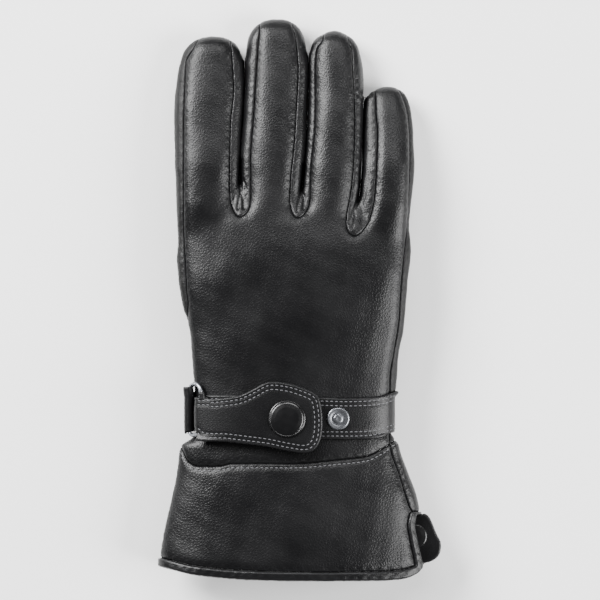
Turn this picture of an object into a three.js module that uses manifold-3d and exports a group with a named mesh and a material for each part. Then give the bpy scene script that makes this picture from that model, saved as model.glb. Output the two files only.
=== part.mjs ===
// A right-hand leather gauntlet glove, lying palm down with its thumb folded under the palm.
// Millimetres, +Z up, fingers along +Y, little finger at +X. The origin is the middle of its underside.
import * as THREE from 'three';
import { mergeVertices } from 'three/addons/utils/BufferGeometryUtils.js';
import Module from 'manifold-3d';

const wasm = await Module();
wasm.setup();

// Leather, and the gaps between pieces
const wall = 1.7;
const bindingExtra = 0.5;
const strapThickness = 1.8;
const seamGap = 0.3;
const fingerGap = 0.8;
const layGap = 0.35;
const cutPast = 1;

// Hand
const palmLength = 98;
const palmBelowMiddle = 7.8;
const knuckleX = -3.1;
const handThickness = 22.5;
const palmLift = 9;
const fingerThickness = 19;
const fingerLift = 18.6;
const fingertipLift = 8.7;
const tipShare = 0.35;
const fourchetteTipHalf = 2.4;
const fourchettePast = 4;
const fourchetteEndShare = 0.96;
const radialWrap = 3.8;
const ulnarWrap = 4.3;
const littleWrap = 3.4;
const ulnarDrop = 11;

// Wrist and cuff
const wristX = -3.6;
const wristWidth = 93.6;
const wristThickness = 22.5;
const cuffLength = 77.8;
const hemWidth = 127.2;
const hemThickness = 34;
const hemRise = 7;
const cuffSeamWidth = 100.8;
const cuffSeamDrop = 10.8;
const cuffSeamShift = -2.5;
const cuffSeamBelowStrap = 11.8;
const bindingWidth = 4.5;
const slitLength = 34;
const slitLow = 2;
const slitHigh = 2.2;
const slitFlare = 3.6;
const slitBinding = 3.2;

// Thumb
const thumbLength = 85;
const thumbWidth = 37;
const thumbHeight = 8.6;
const thumbTurn = -0.27;
const thumbX = -30;
const thumbFromStrap = 3.6;
const thumbPress = 0.6;
const mouthLength = 44;
const mouthWidth = 27;
const mouthAt = 0.32;

// Strap, ring and snaps
const strapWidth = 20.8;
const flapLength = 61;
const flapSpare = 6;
const ringLegX = -47.6;
const ringWire = 2;
const ringLegSpacing = 8.4;
const ringShift = 2.4;
const ringCorner = 2;
const keeperStart = 246;
const keeperOverlap = 14;
const keeperButt = 1;
const keeperThickness = 1.4;
const keeperSettle = 18;
const capDiameter = 17.8;
const capHeight = 1.8;
const capFromFlapEnd = 16.6;
const studSpacing = 24.4;
const studDiameter = 10.9;
const studFlange = 0.7;
const knobDiameter = 4.5;
const knobHeight = 2.1;
const closedKnobHeight = 1.1;
const knobRoom = 0.4;
const stemDiameter = 3.4;
const socketDiameter = 9;
const socketHeight = 1.4;
const socketFloor = 0.5;
const snapGap = 0.25;

// Tab in the slit
const tabWidth = 23;
const tabReach = 10.4;
const tabInside = 12;
const tabSnapInside = 3.7;
const tabSnapDown = 0.45;
const tabThickness = 1.8;
const tabRoot = 9;
const tabSnapDiameter = 12;
const tabSnapHeight = 1.3;

// How finely the forms are faceted
const fingerSides = 12;
const handSides = 26;
const thumbSides = 12;
const roundSides = 14;
const arcStep = 10;

// How full the sections are: 2 is an ellipse, and more is squarer
const handSquareness = 2.4;
const hemSquareness = 2.05;
const fingerSquareness = 2.2;
const thumbSquareness = 2.5;

// Cutting blocks reach well past the glove
const belowFloor = -5;
const highAbove = 80;
const farOut = 110;

// Each finger from the knuckle line to its tip. Rows: share of its length, left and right edge as
// shares of its width from its axis, thickness share, and how much of the side seam's inset is left.
const fingers = [
  {
    width: 30.8,
    reach: 85,
    rows: [
      { along: -0.13, left: -0.41, right: 0.41, thick: 0.72, seam: 1 },
      { along: 0.06, left: -0.5, right: 0.5, thick: 1, seam: 1 },
      { along: 0.25, left: -0.5, right: 0.5, thick: 1, seam: 1 },
      { along: 0.6, left: -0.5, right: 0.575, thick: 0.99, seam: 1 },
      { along: 0.74, left: -0.465, right: 0.595, thick: 0.97, seam: 1 },
      { along: 0.9, left: -0.375, right: 0.525, thick: 0.85, seam: 0.8 },
      { along: 0.955, left: -0.275, right: 0.44, thick: 0.7, seam: 0.6 },
      { along: 0.988, left: -0.13, right: 0.3, thick: 0.45, seam: 0.3 },
    ],
  },
  {
    width: 28.4,
    reach: 93.5,
    rows: [
      { along: -0.13, left: -0.41, right: 0.41, thick: 0.72, seam: 1 },
      { along: 0.05, left: -0.5, right: 0.5, thick: 1, seam: 1 },
      { along: 0.21, left: -0.5, right: 0.55, thick: 1, seam: 1 },
      { along: 0.38, left: -0.475, right: 0.605, thick: 1, seam: 1 },
      { along: 0.67, left: -0.43, right: 0.64, thick: 0.98, seam: 1 },
      { along: 0.87, left: -0.39, right: 0.58, thick: 0.88, seam: 0.75 },
      { along: 0.935, left: -0.32, right: 0.51, thick: 0.75, seam: 0.5 },
      { along: 0.98, left: -0.17, right: 0.37, thick: 0.48, seam: 0.25 },
    ],
  },
  {
    width: 26.6,
    reach: 88,
    rows: [
      { along: -0.13, left: -0.41, right: 0.41, thick: 0.72, seam: 1 },
      { along: 0.05, left: -0.5, right: 0.505, thick: 1, seam: 1 },
      { along: 0.21, left: -0.46, right: 0.56, thick: 1, seam: 1 },
      { along: 0.38, left: -0.415, right: 0.59, thick: 1, seam: 1 },
      { along: 0.7, left: -0.38, right: 0.605, thick: 0.97, seam: 1 },
      { along: 0.895, left: -0.335, right: 0.53, thick: 0.84, seam: 0.7 },
      { along: 0.95, left: -0.25, right: 0.43, thick: 0.69, seam: 0.5 },
      { along: 0.985, left: -0.08, right: 0.27, thick: 0.42, seam: 0.25 },
    ],
  },
  {
    width: 25.8,
    reach: 61.3,
    rows: [
      { along: -0.25, left: -0.4, right: 0.42, thick: 0.66, seam: 1 },
      { along: 0.07, left: -0.49, right: 0.5, thick: 0.93, seam: 1 },
      { along: 0.26, left: -0.45, right: 0.53, thick: 0.93, seam: 1 },
      { along: 0.6, left: -0.43, right: 0.51, thick: 0.92, seam: 0.75 },
      { along: 0.75, left: -0.42, right: 0.475, thick: 0.89, seam: 0.6 },
      { along: 0.87, left: -0.395, right: 0.42, thick: 0.8, seam: 0.5 },
      { along: 0.94, left: -0.3, right: 0.35, thick: 0.66, seam: 0.3 },
      { along: 0.982, left: -0.14, right: 0.22, thick: 0.42, seam: 0.2 },
    ],
  },
];

// Fourchettes: how far each shows on the finger at its left and at its right, and how far its
// round end reaches below the knuckle line.
const fourchettes = [
  { left: 4.7, right: 4.5, depth: 1.4 },
  { left: 4.9, right: 3.3, depth: 1.9 },
  { left: 3.9, right: 6.3, depth: 10.5 },
];

// Fingers droop from the knuckles to the floor. Rows: share of the finger, share of the drop.
const droop = [
  { along: -0.2, fall: -0.04 },
  { along: 0, fall: 0 },
  { along: 0.25, fall: 0.2 },
  { along: 0.5, fall: 0.52 },
  { along: 0.75, fall: 0.85 },
  { along: 0.9, fall: 0.98 },
  { along: 1, fall: 1 },
];

// Hand from the knuckle line to the wrist. Rows: share of the palm's length, share of the extra
// width over the wrist, sideways shift as a share of the wrist width, lift share, thickness share,
// how much of each side seam's inset is left, and how far the row drops towards the little finger.
const palmRows = [
  { along: -0.075, flare: 0.7, shift: 0, lift: 1.5, thick: 0.42, radial: 1, ulnar: 0.7, drop: 1 },
  { along: -0.035, flare: 0.88, shift: 0, lift: 1.2, thick: 0.66, radial: 1, ulnar: 0.75, drop: 1 },
  { along: 0.02, flare: 0.99, shift: 0.001, lift: 1.02, thick: 0.85, radial: 1, ulnar: 0.8, drop: 1 },
  { along: 0.18, flare: 0.9, shift: -0.001, lift: 1, thick: 0.96, radial: 1, ulnar: 0.95, drop: 0.4 },
  { along: 0.335, flare: 0.776, shift: -0.003, lift: 1, thick: 1.02, radial: 0.85, ulnar: 1, drop: 0 },
  { along: 0.45, flare: 0.61, shift: 0.005, lift: 1, thick: 1.03, radial: 0.2, ulnar: 1, drop: 0 },
  { along: 0.57, flare: 0.424, shift: 0.016, lift: 1, thick: 1.03, radial: -0.8, ulnar: 0.9, drop: 0 },
  { along: 0.69, flare: 0.26, shift: 0.009, lift: 1, thick: 1.02, radial: -2, ulnar: 0.9, drop: 0 },
  { along: 0.805, flare: 0.165, shift: 0.009, lift: 1, thick: 1, radial: -2, ulnar: 0.8, drop: 0 },
  { along: 0.87, flare: 0, shift: 0, lift: 0.97, thick: 1, radial: -2, ulnar: 0.75, drop: 0 },
];

// Cuff from the waist of the wrist to past the hem, with the same columns as the hand but the last.
const cuffRows = [
  { along: 0.14, flare: 0, shift: 0, lift: 0.95, thick: 0, radial: -2, ulnar: 0.7 },
  { along: 0.19, flare: 0.32, shift: -0.011, lift: 0.86, thick: 0.08, radial: -2, ulnar: 0.75 },
  { along: 0.35, flare: 0.53, shift: -0.001, lift: 0.56, thick: 0.42, radial: -2, ulnar: 0.9 },
  { along: 0.5, flare: 0.73, shift: 0.004, lift: 0.36, thick: 0.65, radial: -2, ulnar: 1 },
  { along: 0.79, flare: 0.985, shift: 0.002, lift: 0.09, thick: 0.94, radial: -2, ulnar: 1 },
  { along: 0.93, flare: 1.06, shift: 0.0025, lift: 0.035, thick: 1, radial: -2, ulnar: 1 },
  { along: 1.08, flare: 1.15, shift: 0.0025, lift: 0, thick: 1.04, radial: -2, ulnar: 1 },
];

// Hem seen from above. Rows: share of the hem's width, share of its rise towards the corners.
const hemRows = [
  { across: -0.7, rise: 1.6 },
  { across: -0.5, rise: 0.94 },
  { across: -0.35, rise: 0.36 },
  { across: -0.15, rise: 0.08 },
  { across: 0.1, rise: 0 },
  { across: 0.32, rise: 0.02 },
  { across: 0.41, rise: 0.12 },
  { across: 0.47, rise: 0.5 },
  { across: 0.51, rise: 1.35 },
  { across: 0.7, rise: 2.2 },
];

// Seam between hand and cuff. Rows: share of its width from the left end, share of its drop.
const cuffSeamRows = [
  { across: -0.3, drop: -0.6 },
  { across: -0.02, drop: 0 },
  { across: 0.033, drop: 0.78 },
  { across: 0.08, drop: 0.98 },
  { across: 0.16, drop: 1 },
  { across: 0.25, drop: 0.88 },
  { across: 0.52, drop: 0.87 },
  { across: 0.757, drop: 0.71 },
  { across: 0.88, drop: 0.57 },
  { across: 0.95, drop: 0.31 },
  { across: 1.01, drop: -0.02 },
  { across: 1.3, drop: -1 },
];

// Thumb from its rounded base to its tip. Rows: share of length, of width and of height.
const thumbRows = [
  { along: 0, width: 0.3, height: 0.45 },
  { along: 0.03, width: 0.58, height: 0.75 },
  { along: 0.09, width: 0.84, height: 0.95 },
  { along: 0.2, width: 0.99, height: 1 },
  { along: 0.4, width: 1, height: 1 },
  { along: 0.6, width: 0.9, height: 1 },
  { along: 0.78, width: 0.8, height: 1 },
  { along: 0.9, width: 0.66, height: 0.95 },
  { along: 0.965, width: 0.44, height: 0.78 },
  { along: 1, width: 0.16, height: 0.45 },
];

// Flap of the strap seen from above. Rows: share of its length from the fold, and how far its
// upper and lower edges lie from the strap's middle line, as shares of half the strap's width.
const flapUpper = [
  { along: -0.05, edge: 1 },
  { along: 0.16, edge: 0.95 },
  { along: 0.35, edge: 1.07 },
  { along: 0.45, edge: 1.36 },
  { along: 0.53, edge: 1.62 },
  { along: 0.6, edge: 1.71 },
  { along: 0.67, edge: 1.7 },
  { along: 0.77, edge: 1.59 },
  { along: 0.87, edge: 1.4 },
  { along: 0.94, edge: 1.2 },
  { along: 0.975, edge: 0.97 },
  { along: 0.99, edge: 0.5 },
];
const flapLower = [
  { along: 1, edge: 0 },
  { along: 1, edge: 0.6 },
  { along: 0.985, edge: 1.02 },
  { along: 0.95, edge: 1.4 },
  { along: 0.9, edge: 1.58 },
  { along: 0.85, edge: 1.63 },
  { along: 0.7, edge: 1.52 },
  { along: 0.55, edge: 1.31 },
  { along: 0.4, edge: 1.19 },
  { along: 0.24, edge: 1.08 },
  { along: -0.05, edge: 1 },
];

// Tab in the slit seen from above. Rows: share of its reach, share of its width from the top.
const tabRows = [
  { out: 0.05, down: 0 },
  { out: 0.3, down: 0.04 },
  { out: 0.5, down: 0.13 },
  { out: 0.81, down: 0.44 },
  { out: 0.96, down: 0.56 },
  { out: 1, down: 0.7 },
  { out: 0.93, down: 0.83 },
  { out: 0.74, down: 0.92 },
  { out: 0.3, down: 1 },
];

const soles = new THREE.MeshStandardMaterial({ color: 0x101012, roughness: 0.5, metalness: 0 });
soles.name = 'palm leather';
const leather = new THREE.MeshStandardMaterial({ color: 0x0b0b0c, roughness: 0.42, metalness: 0 });
leather.name = 'black leather';
const strapLeather = new THREE.MeshStandardMaterial({ color: 0x0d0d0e, roughness: 0.38, metalness: 0 });
strapLeather.name = 'strap leather';
const metal = new THREE.MeshStandardMaterial({ color: 0x85878b, roughness: 0.3, metalness: 1 });
metal.name = 'gunmetal';
const enamel = new THREE.MeshStandardMaterial({ color: 0x060607, roughness: 0.25, metalness: 0.2 });
enamel.name = 'black enamel';

function toSolid(geometry) {
  const bare = geometry.clone();
  bare.deleteAttribute('normal');
  bare.deleteAttribute('uv');
  const merged = mergeVertices(bare, 1e-4);
  return new wasm.Manifold(new wasm.Mesh({
    numProp: 3,
    vertProperties: Float32Array.from(merged.attributes.position.array),
    triVerts: Uint32Array.from(merged.index.array),
  }));
}

function toGeometry(solid) {
  const mesh = solid.getMesh();
  const geometry = new THREE.BufferGeometry();
  geometry.setAttribute('position', new THREE.BufferAttribute(mesh.vertProperties, 3));
  geometry.setIndex(new THREE.BufferAttribute(mesh.triVerts, 1));
  geometry.computeVertexNormals();
  return geometry;
}

// A value between the rows of a table, at a share along it
function between(rows, along, column) {
  const next = rows.findIndex((row) => row.along >= along);
  if (next === 0) return rows[0][column];
  if (next < 0) return rows.at(-1)[column];
  const before = rows[next - 1];
  const after = rows[next];
  const share = (along - before.along) / (after.along - before.along);
  return THREE.MathUtils.lerp(before[column], after[column], share);
}

// One closed section across the glove: an oval with full sides, flattened where it meets the floor
function section(place, inset, sides) {
  const points = [];
  const halfWidth = (place.right - place.left) / 2 - inset;
  const halfHeight = (place.top - place.bottom) / 2 - inset;
  const fullness = 2 / place.squareness;
  for (let step = 0; step < sides; step += 1) {
    const angle = (step / sides) * 2 * Math.PI;
    const across = Math.sign(Math.cos(angle)) * Math.abs(Math.cos(angle)) ** fullness;
    const up = Math.sign(Math.sin(angle)) * Math.abs(Math.sin(angle)) ** fullness;
    points.push(new THREE.Vector3(
      (place.left + place.right) / 2 + halfWidth * across,
      place.y,
      Math.max((place.top + place.bottom) / 2 + halfHeight * up, Math.max(inset, 0)),
    ));
  }
  return points;
}

// A closed solid through a row of sections that follow each other along +Y
function loft(rings) {
  const sides = rings[0].length;
  const points = rings.flat();
  const faces = [];
  for (let ring = 0; ring < rings.length - 1; ring += 1) {
    for (let side = 0; side < sides; side += 1) {
      const here = ring * sides + side;
      const beside = ring * sides + ((side + 1) % sides);
      faces.push(here, here + sides, beside);
      faces.push(beside, here + sides, beside + sides);
    }
  }
  const ends = [rings[0], rings.at(-1)];
  ends.forEach((ring, end) => {
    const middle = points.length;
    const first = end === 0 ? 0 : (rings.length - 1) * sides;
    points.push(ring.reduce((sum, point) => sum.add(point), new THREE.Vector3()).divideScalar(sides));
    for (let side = 0; side < sides; side += 1) {
      const here = first + side;
      const beside = first + ((side + 1) % sides);
      faces.push(middle, end === 0 ? here : beside, end === 0 ? beside : here);
    }
  });
  const geometry = new THREE.BufferGeometry().setFromPoints(points);
  geometry.setIndex(faces);
  return geometry;
}

// An upright prism over an outline seen from above
function prism(outline, low, high) {
  const geometry = new THREE.ExtrudeGeometry(new THREE.Shape(outline), {
    depth: high - low,
    bevelEnabled: false,
  });
  geometry.translate(0, 0, low);
  return toSolid(geometry);
}

// A solid over an outline drawn in X and Z, from one Y to another
function bar(outline, fromY, toY) {
  const geometry = new THREE.ExtrudeGeometry(new THREE.Shape(outline), {
    depth: toY - fromY,
    bevelEnabled: false,
  });
  geometry.applyMatrix4(new THREE.Matrix4().makeBasis(
    new THREE.Vector3(1, 0, 0),
    new THREE.Vector3(0, 0, 1),
    new THREE.Vector3(0, -1, 0),
  ));
  geometry.translate(0, toY, 0);
  return toSolid(geometry);
}

// A solid over an outline drawn in Y and Z, from one X to another
function slab(outline, fromX, toX) {
  const geometry = new THREE.ExtrudeGeometry(new THREE.Shape(outline), {
    depth: toX - fromX,
    bevelEnabled: false,
  });
  geometry.applyMatrix4(new THREE.Matrix4().makeBasis(
    new THREE.Vector3(0, 1, 0),
    new THREE.Vector3(0, 0, 1),
    new THREE.Vector3(1, 0, 0),
  ));
  geometry.translate(fromX, 0, 0);
  return toSolid(geometry);
}

// An outline moved outwards by a distance
function grown(outline, distance) {
  const turn = THREE.ShapeUtils.isClockWise(outline) ? -1 : 1;
  return outline.map((point, index) => {
    const before = outline.at(index - 1);
    const after = outline[(index + 1) % outline.length];
    const into = point.clone().sub(before).normalize();
    const away = after.clone().sub(point).normalize();
    const normal = new THREE.Vector2(into.y + away.y, -into.x - away.x).normalize();
    const stretch = 1 / Math.max(0.5, normal.dot(new THREE.Vector2(into.y, -into.x)));
    return point.clone().addScaledVector(normal, distance * turn * stretch);
  });
}

// Hand and cuff: one flattened tube, from inside the fingers to past the hem
const knuckleWidth = fingers.reduce((sum, finger) => sum + finger.width, 0) + 3 * fingerGap;
const knuckleY = palmLength / 2 - palmBelowMiddle;
const wristY = knuckleY - palmLength;
const hemY = wristY - cuffLength;
const strapY = wristY;
const cuffSeamY = strapY - cuffSeamBelowStrap;

function palmPlace(row) {
  const width = wristWidth + (knuckleWidth - wristWidth) * row.flare;
  const middle = THREE.MathUtils.lerp(wristX, knuckleX, row.flare) + row.shift * wristWidth;
  const full = THREE.MathUtils.lerp(handThickness, wristThickness, Math.max(row.along, 0));
  const bottom = palmLift * row.lift;
  return {
    y: knuckleY - palmLength * row.along,
    left: middle - width / 2,
    right: middle + width / 2,
    bottom,
    top: bottom + full * row.thick,
    squareness: handSquareness,
    radial: row.radial,
    ulnar: row.ulnar,
    drop: row.drop,
  };
}

function cuffPlace(row) {
  const width = wristWidth + (hemWidth - wristWidth) * row.flare;
  const middle = wristX + row.shift * hemWidth;
  const bottom = palmLift * row.lift;
  return {
    y: wristY - cuffLength * row.along,
    left: middle - width / 2,
    right: middle + width / 2,
    bottom,
    top: bottom + THREE.MathUtils.lerp(wristThickness, hemThickness, row.thick),
    squareness: THREE.MathUtils.lerp(handSquareness, hemSquareness, row.thick),
    radial: row.radial,
    ulnar: row.ulnar,
  };
}

const bodyPlaces = [...palmRows.map(palmPlace), ...cuffRows.map(cuffPlace)];

// The knuckles lie lower towards the little finger, and the rows run towards the hem, so they are
// turned round for the loft
function bodyTube(inset) {
  const slopeFrom = fingerAxis(1) + fingers[1].width / 2;
  const slopeWidth = knuckleX + knuckleWidth / 2 - slopeFrom;
  const rings = bodyPlaces.map((place, index) => {
    const end = index === 0 ? Math.max(inset, 0) : 0;
    return section(place, inset, handSides).map((point) => {
      const share = Math.max(0, (point.x - slopeFrom) / slopeWidth);
      return point.setY(point.y - end - (place.drop ?? 0) * ulnarDrop * share);
    });
  });
  return toSolid(loft(rings.reverse()));
}

function bodyAt(y, column) {
  const rows = bodyPlaces.map((place) => ({ ...place, along: -place.y }));
  return between(rows, -y, column);
}

// Fingers stand side by side across the knuckles, a small gap apart
function fingerAxis(index) {
  const before = fingers.slice(0, index).reduce((sum, finger) => sum + finger.width + fingerGap, 0);
  return knuckleX - knuckleWidth / 2 + before + fingers[index].width / 2;
}

function fingerPlace(index, row, inset) {
  const finger = fingers[index];
  const axis = fingerAxis(index);
  const middle = THREE.MathUtils.lerp(fingerLift, fingertipLift, between(droop, row.along, 'fall'));
  const half = (fingerThickness * row.thick) / 2;
  return {
    y: knuckleY + (finger.reach - Math.max(inset, 0)) * row.along,
    left: axis + row.left * finger.width,
    right: axis + row.right * finger.width,
    bottom: middle - half,
    top: middle + half,
    squareness: fingerSquareness,
    seam: row.seam,
  };
}

function fingerTube(index, inset) {
  const places = fingers[index].rows.map((row) => fingerPlace(index, row, inset));
  const rings = places.map((place) => section(place, inset, fingerSides));
  const tip = fingers[index].rows.at(-1);
  const last = fingerPlace(index, { ...tip, along: 1 }, inset);
  const middleX = (last.left + last.right) / 2;
  const middleZ = (last.top + last.bottom) / 2;
  const small = {
    ...last,
    left: THREE.MathUtils.lerp(middleX, last.left, tipShare),
    right: THREE.MathUtils.lerp(middleX, last.right, tipShare),
    bottom: THREE.MathUtils.lerp(middleZ, last.bottom, tipShare),
    top: THREE.MathUtils.lerp(middleZ, last.top, tipShare),
  };
  rings.push(section(small, 0, fingerSides));
  return toSolid(loft(rings));
}

function glove(inset) {
  return fingers.reduce((solid, finger, index) => solid.add(fingerTube(index, inset)), bodyTube(inset));
}

// The hem and the cuff seam run across the glove as seen from above
function acrossLine(rows, startX, width, lineY, column, size) {
  return rows.map((row) => new THREE.Vector2(startX + row.across * width, lineY + row[column] * size));
}

const hemLine = acrossLine(hemRows, wristX, hemWidth, hemY, 'rise', hemRise);
const seamLeft = wristX + cuffSeamShift - cuffSeamWidth / 2;
const seamLine = acrossLine(cuffSeamRows, seamLeft, cuffSeamWidth, cuffSeamY, 'drop', -cuffSeamDrop);

// Everything on the finger side of a line, moved up by a distance
function aboveLine(line, distance) {
  const moved = line.map((point) => new THREE.Vector2(point.x, point.y + distance));
  const far = [new THREE.Vector2(farOut, 2 * farOut), new THREE.Vector2(-farOut, 2 * farOut)];
  const ends = [new THREE.Vector2(farOut, moved.at(-1).y), new THREE.Vector2(-farOut, moved[0].y)];
  return prism([...moved, ends[0], ...far, ends[1]], belowFloor, highAbove);
}

const whole = aboveLine(hemLine, 0);
const outer = glove(0).intersect(whole);
const inner = glove(wall);
const shell = outer.subtract(inner);

// A seam along one side of a finger, through every other row and the last
function seamPoints(index, side, reachIn) {
  const rows = fingers[index].rows.filter((row, step, all) => step % 2 === 1 || step === all.length - 1);
  return rows.map((row) => {
    const place = fingerPlace(index, row, 0);
    const edge = side === 'right' ? place.right - reachIn * row.seam : place.left + reachIn * row.seam;
    return new THREE.Vector2(edge, place.y);
  });
}

// Fourchette outlines run down one finger's side and up the next one's
function fourchetteOutline(index) {
  const { left, right, depth } = fourchettes[index];
  const up = seamPoints(index, 'right', left);
  const down = seamPoints(index + 1, 'left', right).reverse();
  const gapX = fingerAxis(index) + fingers[index].width / 2 + fingerGap / 2;
  const upTip = up.at(-1);
  const downTip = down[0];
  const apart = (up[0].x + down.at(-1).x) / 2;
  const half = (down.at(-1).x - up[0].x) / 2;
  const end = [];
  for (let step = 0; step <= 4; step += 1) {
    const angle = (step / 4) * Math.PI;
    end.push(new THREE.Vector2(
      apart + half * fourchetteEndShare * Math.cos(angle),
      knuckleY - depth + half - half * Math.sin(angle),
    ));
  }
  return [
    ...up,
    new THREE.Vector2(upTip.x, upTip.y + fourchettePast),
    new THREE.Vector2(gapX + fourchetteTipHalf, upTip.y + fourchettePast),
    new THREE.Vector2(gapX + fourchetteTipHalf, downTip.y + fourchettePast),
    new THREE.Vector2(downTip.x, downTip.y + fourchettePast),
    ...down,
    ...end,
  ];
}

const group = new THREE.Group();

function addPiece(name, solid, material) {
  const mesh = new THREE.Mesh(toGeometry(solid), material);
  mesh.name = name;
  group.add(mesh);
  return mesh;
}

// Back and palm meet halfway up the glove's thickness, along every other row
const middleLine = [
  ...fingers[1].rows.slice(1).reverse().map((row) => fingerPlace(1, row, 0)),
  ...bodyPlaces.slice(2),
].filter((_, index) => index % 2 === 0)
  .map((place) => new THREE.Vector2(place.y, (place.top + place.bottom) / 2));

function upperHalf(drop) {
  const line = middleLine.map((point) => new THREE.Vector2(point.x, point.y - drop));
  const first = new THREE.Vector2(2 * farOut, line[0].y);
  const last = new THREE.Vector2(-2 * farOut, line.at(-1).y);
  const roof = [new THREE.Vector2(-2 * farOut, highAbove), new THREE.Vector2(2 * farOut, highAbove)];
  return slab([first, ...line, last, ...roof], -farOut, farOut);
}

// Side seams of the back, seen from above
const radialSeam = [
  ...seamPoints(0, 'left', radialWrap).reverse(),
  ...bodyPlaces.slice(2).map((place) => new THREE.Vector2(place.left + radialWrap * place.radial, place.y)),
];
const ulnarSeam = [
  ...seamPoints(3, 'right', littleWrap).reverse(),
  ...bodyPlaces.slice(2).map((place) => new THREE.Vector2(place.right - ulnarWrap * place.ulnar, place.y)),
];
const backOutline = [
  new THREE.Vector2(radialSeam[0].x, farOut * 2),
  ...radialSeam,
  ...ulnarSeam.reverse(),
  new THREE.Vector2(ulnarSeam.at(-1).x, farOut * 2),
];
const backBlock = prism(backOutline, 0, highAbove).intersect(upperHalf(0));
const backBlockGrown = prism(grown(backOutline, seamGap), 0, highAbove).intersect(upperHalf(seamGap));

// Strips between the fingers
let rest = shell;
const gapNames = ['fourchette_index_middle', 'fourchette_middle_ring', 'fourchette_ring_little'];
gapNames.forEach((name, index) => {
  const outline = fourchetteOutline(index);
  addPiece(name, rest.intersect(prism(outline, belowFloor, highAbove)), leather);
  rest = rest.subtract(prism(grown(outline, seamGap), belowFloor, highAbove));
});

// Thumb, built along +Y and turned into place
function thumbTube(inset) {
  const rings = thumbRows.map((row) => section({
    y: inset + (thumbLength - 2 * inset) * row.along,
    left: (-thumbWidth * row.width) / 2,
    right: (thumbWidth * row.width) / 2,
    bottom: (thumbHeight * (1 - row.height)) / 2 - thumbPress * row.height,
    top: (thumbHeight * (1 + row.height)) / 2,
    squareness: thumbSquareness,
  }, inset, thumbSides));
  return toSolid(loft(rings));
}

function mouth(extra) {
  const geometry = new THREE.CylinderGeometry(1, 1, highAbove / 4, thumbSides);
  geometry.rotateX(Math.PI / 2);
  geometry.scale(mouthWidth / 2 + extra, mouthLength / 2 + extra, 1);
  geometry.translate(0, thumbLength * mouthAt, thumbHeight / 2 + highAbove / 8);
  return toSolid(geometry);
}

function inThumbPlace(solid) {
  const startY = strapY + strapWidth / 2 + thumbFromStrap;
  return solid.rotate([0, 0, THREE.MathUtils.radToDeg(thumbTurn)]).translate([thumbX, startY, 0]);
}

const mouthHole = inThumbPlace(mouth(seamGap)).intersect(outer).subtract(upperHalf(0));
const thumbOuter = inThumbPlace(thumbTube(0)).add(inThumbPlace(mouth(0)));
const thumbInner = inThumbPlace(thumbTube(wall)).add(inThumbPlace(mouth(-wall)));
addPiece('thumb', thumbOuter.subtract(thumbInner).subtract(inner).subtract(upperHalf(0)), leather);

// Hand panels
const handBlock = aboveLine(seamLine, seamGap / 2);
const cuffBlock = aboveLine(seamLine, -seamGap / 2);
const hand = rest.intersect(handBlock);
addPiece('hand_back', hand.intersect(backBlock), leather);
addPiece('hand_palm', hand.subtract(backBlockGrown).subtract(mouthHole), soles);

// Slit at the little-finger side of the cuff, drawn in Y and Z
const slitTop = hemY + slitLength;
const slitHalfway = slitTop - slitLength / 2;
const slitMiddle = (bodyAt(slitHalfway, 'bottom') + bodyAt(slitHalfway, 'top')) / 2;

function slitBlock(extra) {
  return slab([
    new THREE.Vector2(slitTop + extra, slitMiddle - slitLow / 2),
    new THREE.Vector2(slitTop + extra, slitMiddle + slitHigh / 2),
    new THREE.Vector2(slitTop - slitHigh, slitMiddle + slitHigh + extra),
    new THREE.Vector2(hemY - hemRise, slitMiddle + slitHigh + slitFlare + extra),
    new THREE.Vector2(hemY - hemRise, slitMiddle - slitLow - extra),
    new THREE.Vector2(slitTop - slitLow, slitMiddle - slitLow - extra),
  ], wristX + hemWidth / 4, farOut);
}

// Bound edge round the hem and the slit, thicker than the panels
const slit = slitBlock(0);
const bindingInside = wall + bindingExtra;
const bindingShell = bodyTube(-bindingExtra).intersect(whole).subtract(bodyTube(bindingInside));
const panelArea = aboveLine(hemLine, bindingWidth);
const panelAreaInset = aboveLine(hemLine, bindingWidth + seamGap);
const bindingAtSlit = bindingShell.intersect(slitBlock(slitBinding));
const bindingEdge = bindingShell.subtract(panelArea).add(bindingAtSlit);
addPiece('cuff_binding', bindingEdge.subtract(slit), strapLeather);

// Cuff panels
const cuff = rest.subtract(cuffBlock).intersect(panelAreaInset).subtract(slitBlock(slitBinding + seamGap));
addPiece('gauntlet_back', cuff.intersect(backBlock), leather);
addPiece('gauntlet_palm', cuff.subtract(backBlockGrown), leather);

// Tab, flat in the slit, with a root that runs down inside the palm panel
const tabTop = slitTop - slitLow - layGap;
const tabEdgeX = bodyAt(tabTop - tabWidth / 2, 'right') - wall;
const tabLow = slitMiddle - slitLow + layGap;
const tabOutline = [
  new THREE.Vector2(tabEdgeX - tabInside, tabTop),
  ...tabRows.map((row) => new THREE.Vector2(tabEdgeX + row.out * tabReach, tabTop - row.down * tabWidth)),
  new THREE.Vector2(tabEdgeX - tabInside, tabTop - tabWidth),
];
const tabBlade = prism(tabOutline, tabLow, tabLow + tabThickness);
const rootOutside = bindingInside + layGap;
const rootBand = bodyTube(rootOutside).subtract(bodyTube(rootOutside + tabThickness));
const rootBox = prism([
  new THREE.Vector2(tabEdgeX - 2 * tabInside, tabTop),
  new THREE.Vector2(tabEdgeX - 2 * tabInside, tabTop - tabWidth),
  new THREE.Vector2(farOut, tabTop - tabWidth),
  new THREE.Vector2(farOut, tabTop),
], slitMiddle - tabRoot, tabLow + tabThickness);
const tabStemX = tabEdgeX - tabSnapInside;
const tabStemY = tabTop - tabWidth * tabSnapDown;

function upright(radius, low, high, x, y) {
  const geometry = new THREE.CylinderGeometry(radius, radius, high - low, roundSides);
  geometry.rotateX(Math.PI / 2);
  geometry.translate(x, y, (low + high) / 2);
  return toSolid(geometry);
}

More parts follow.
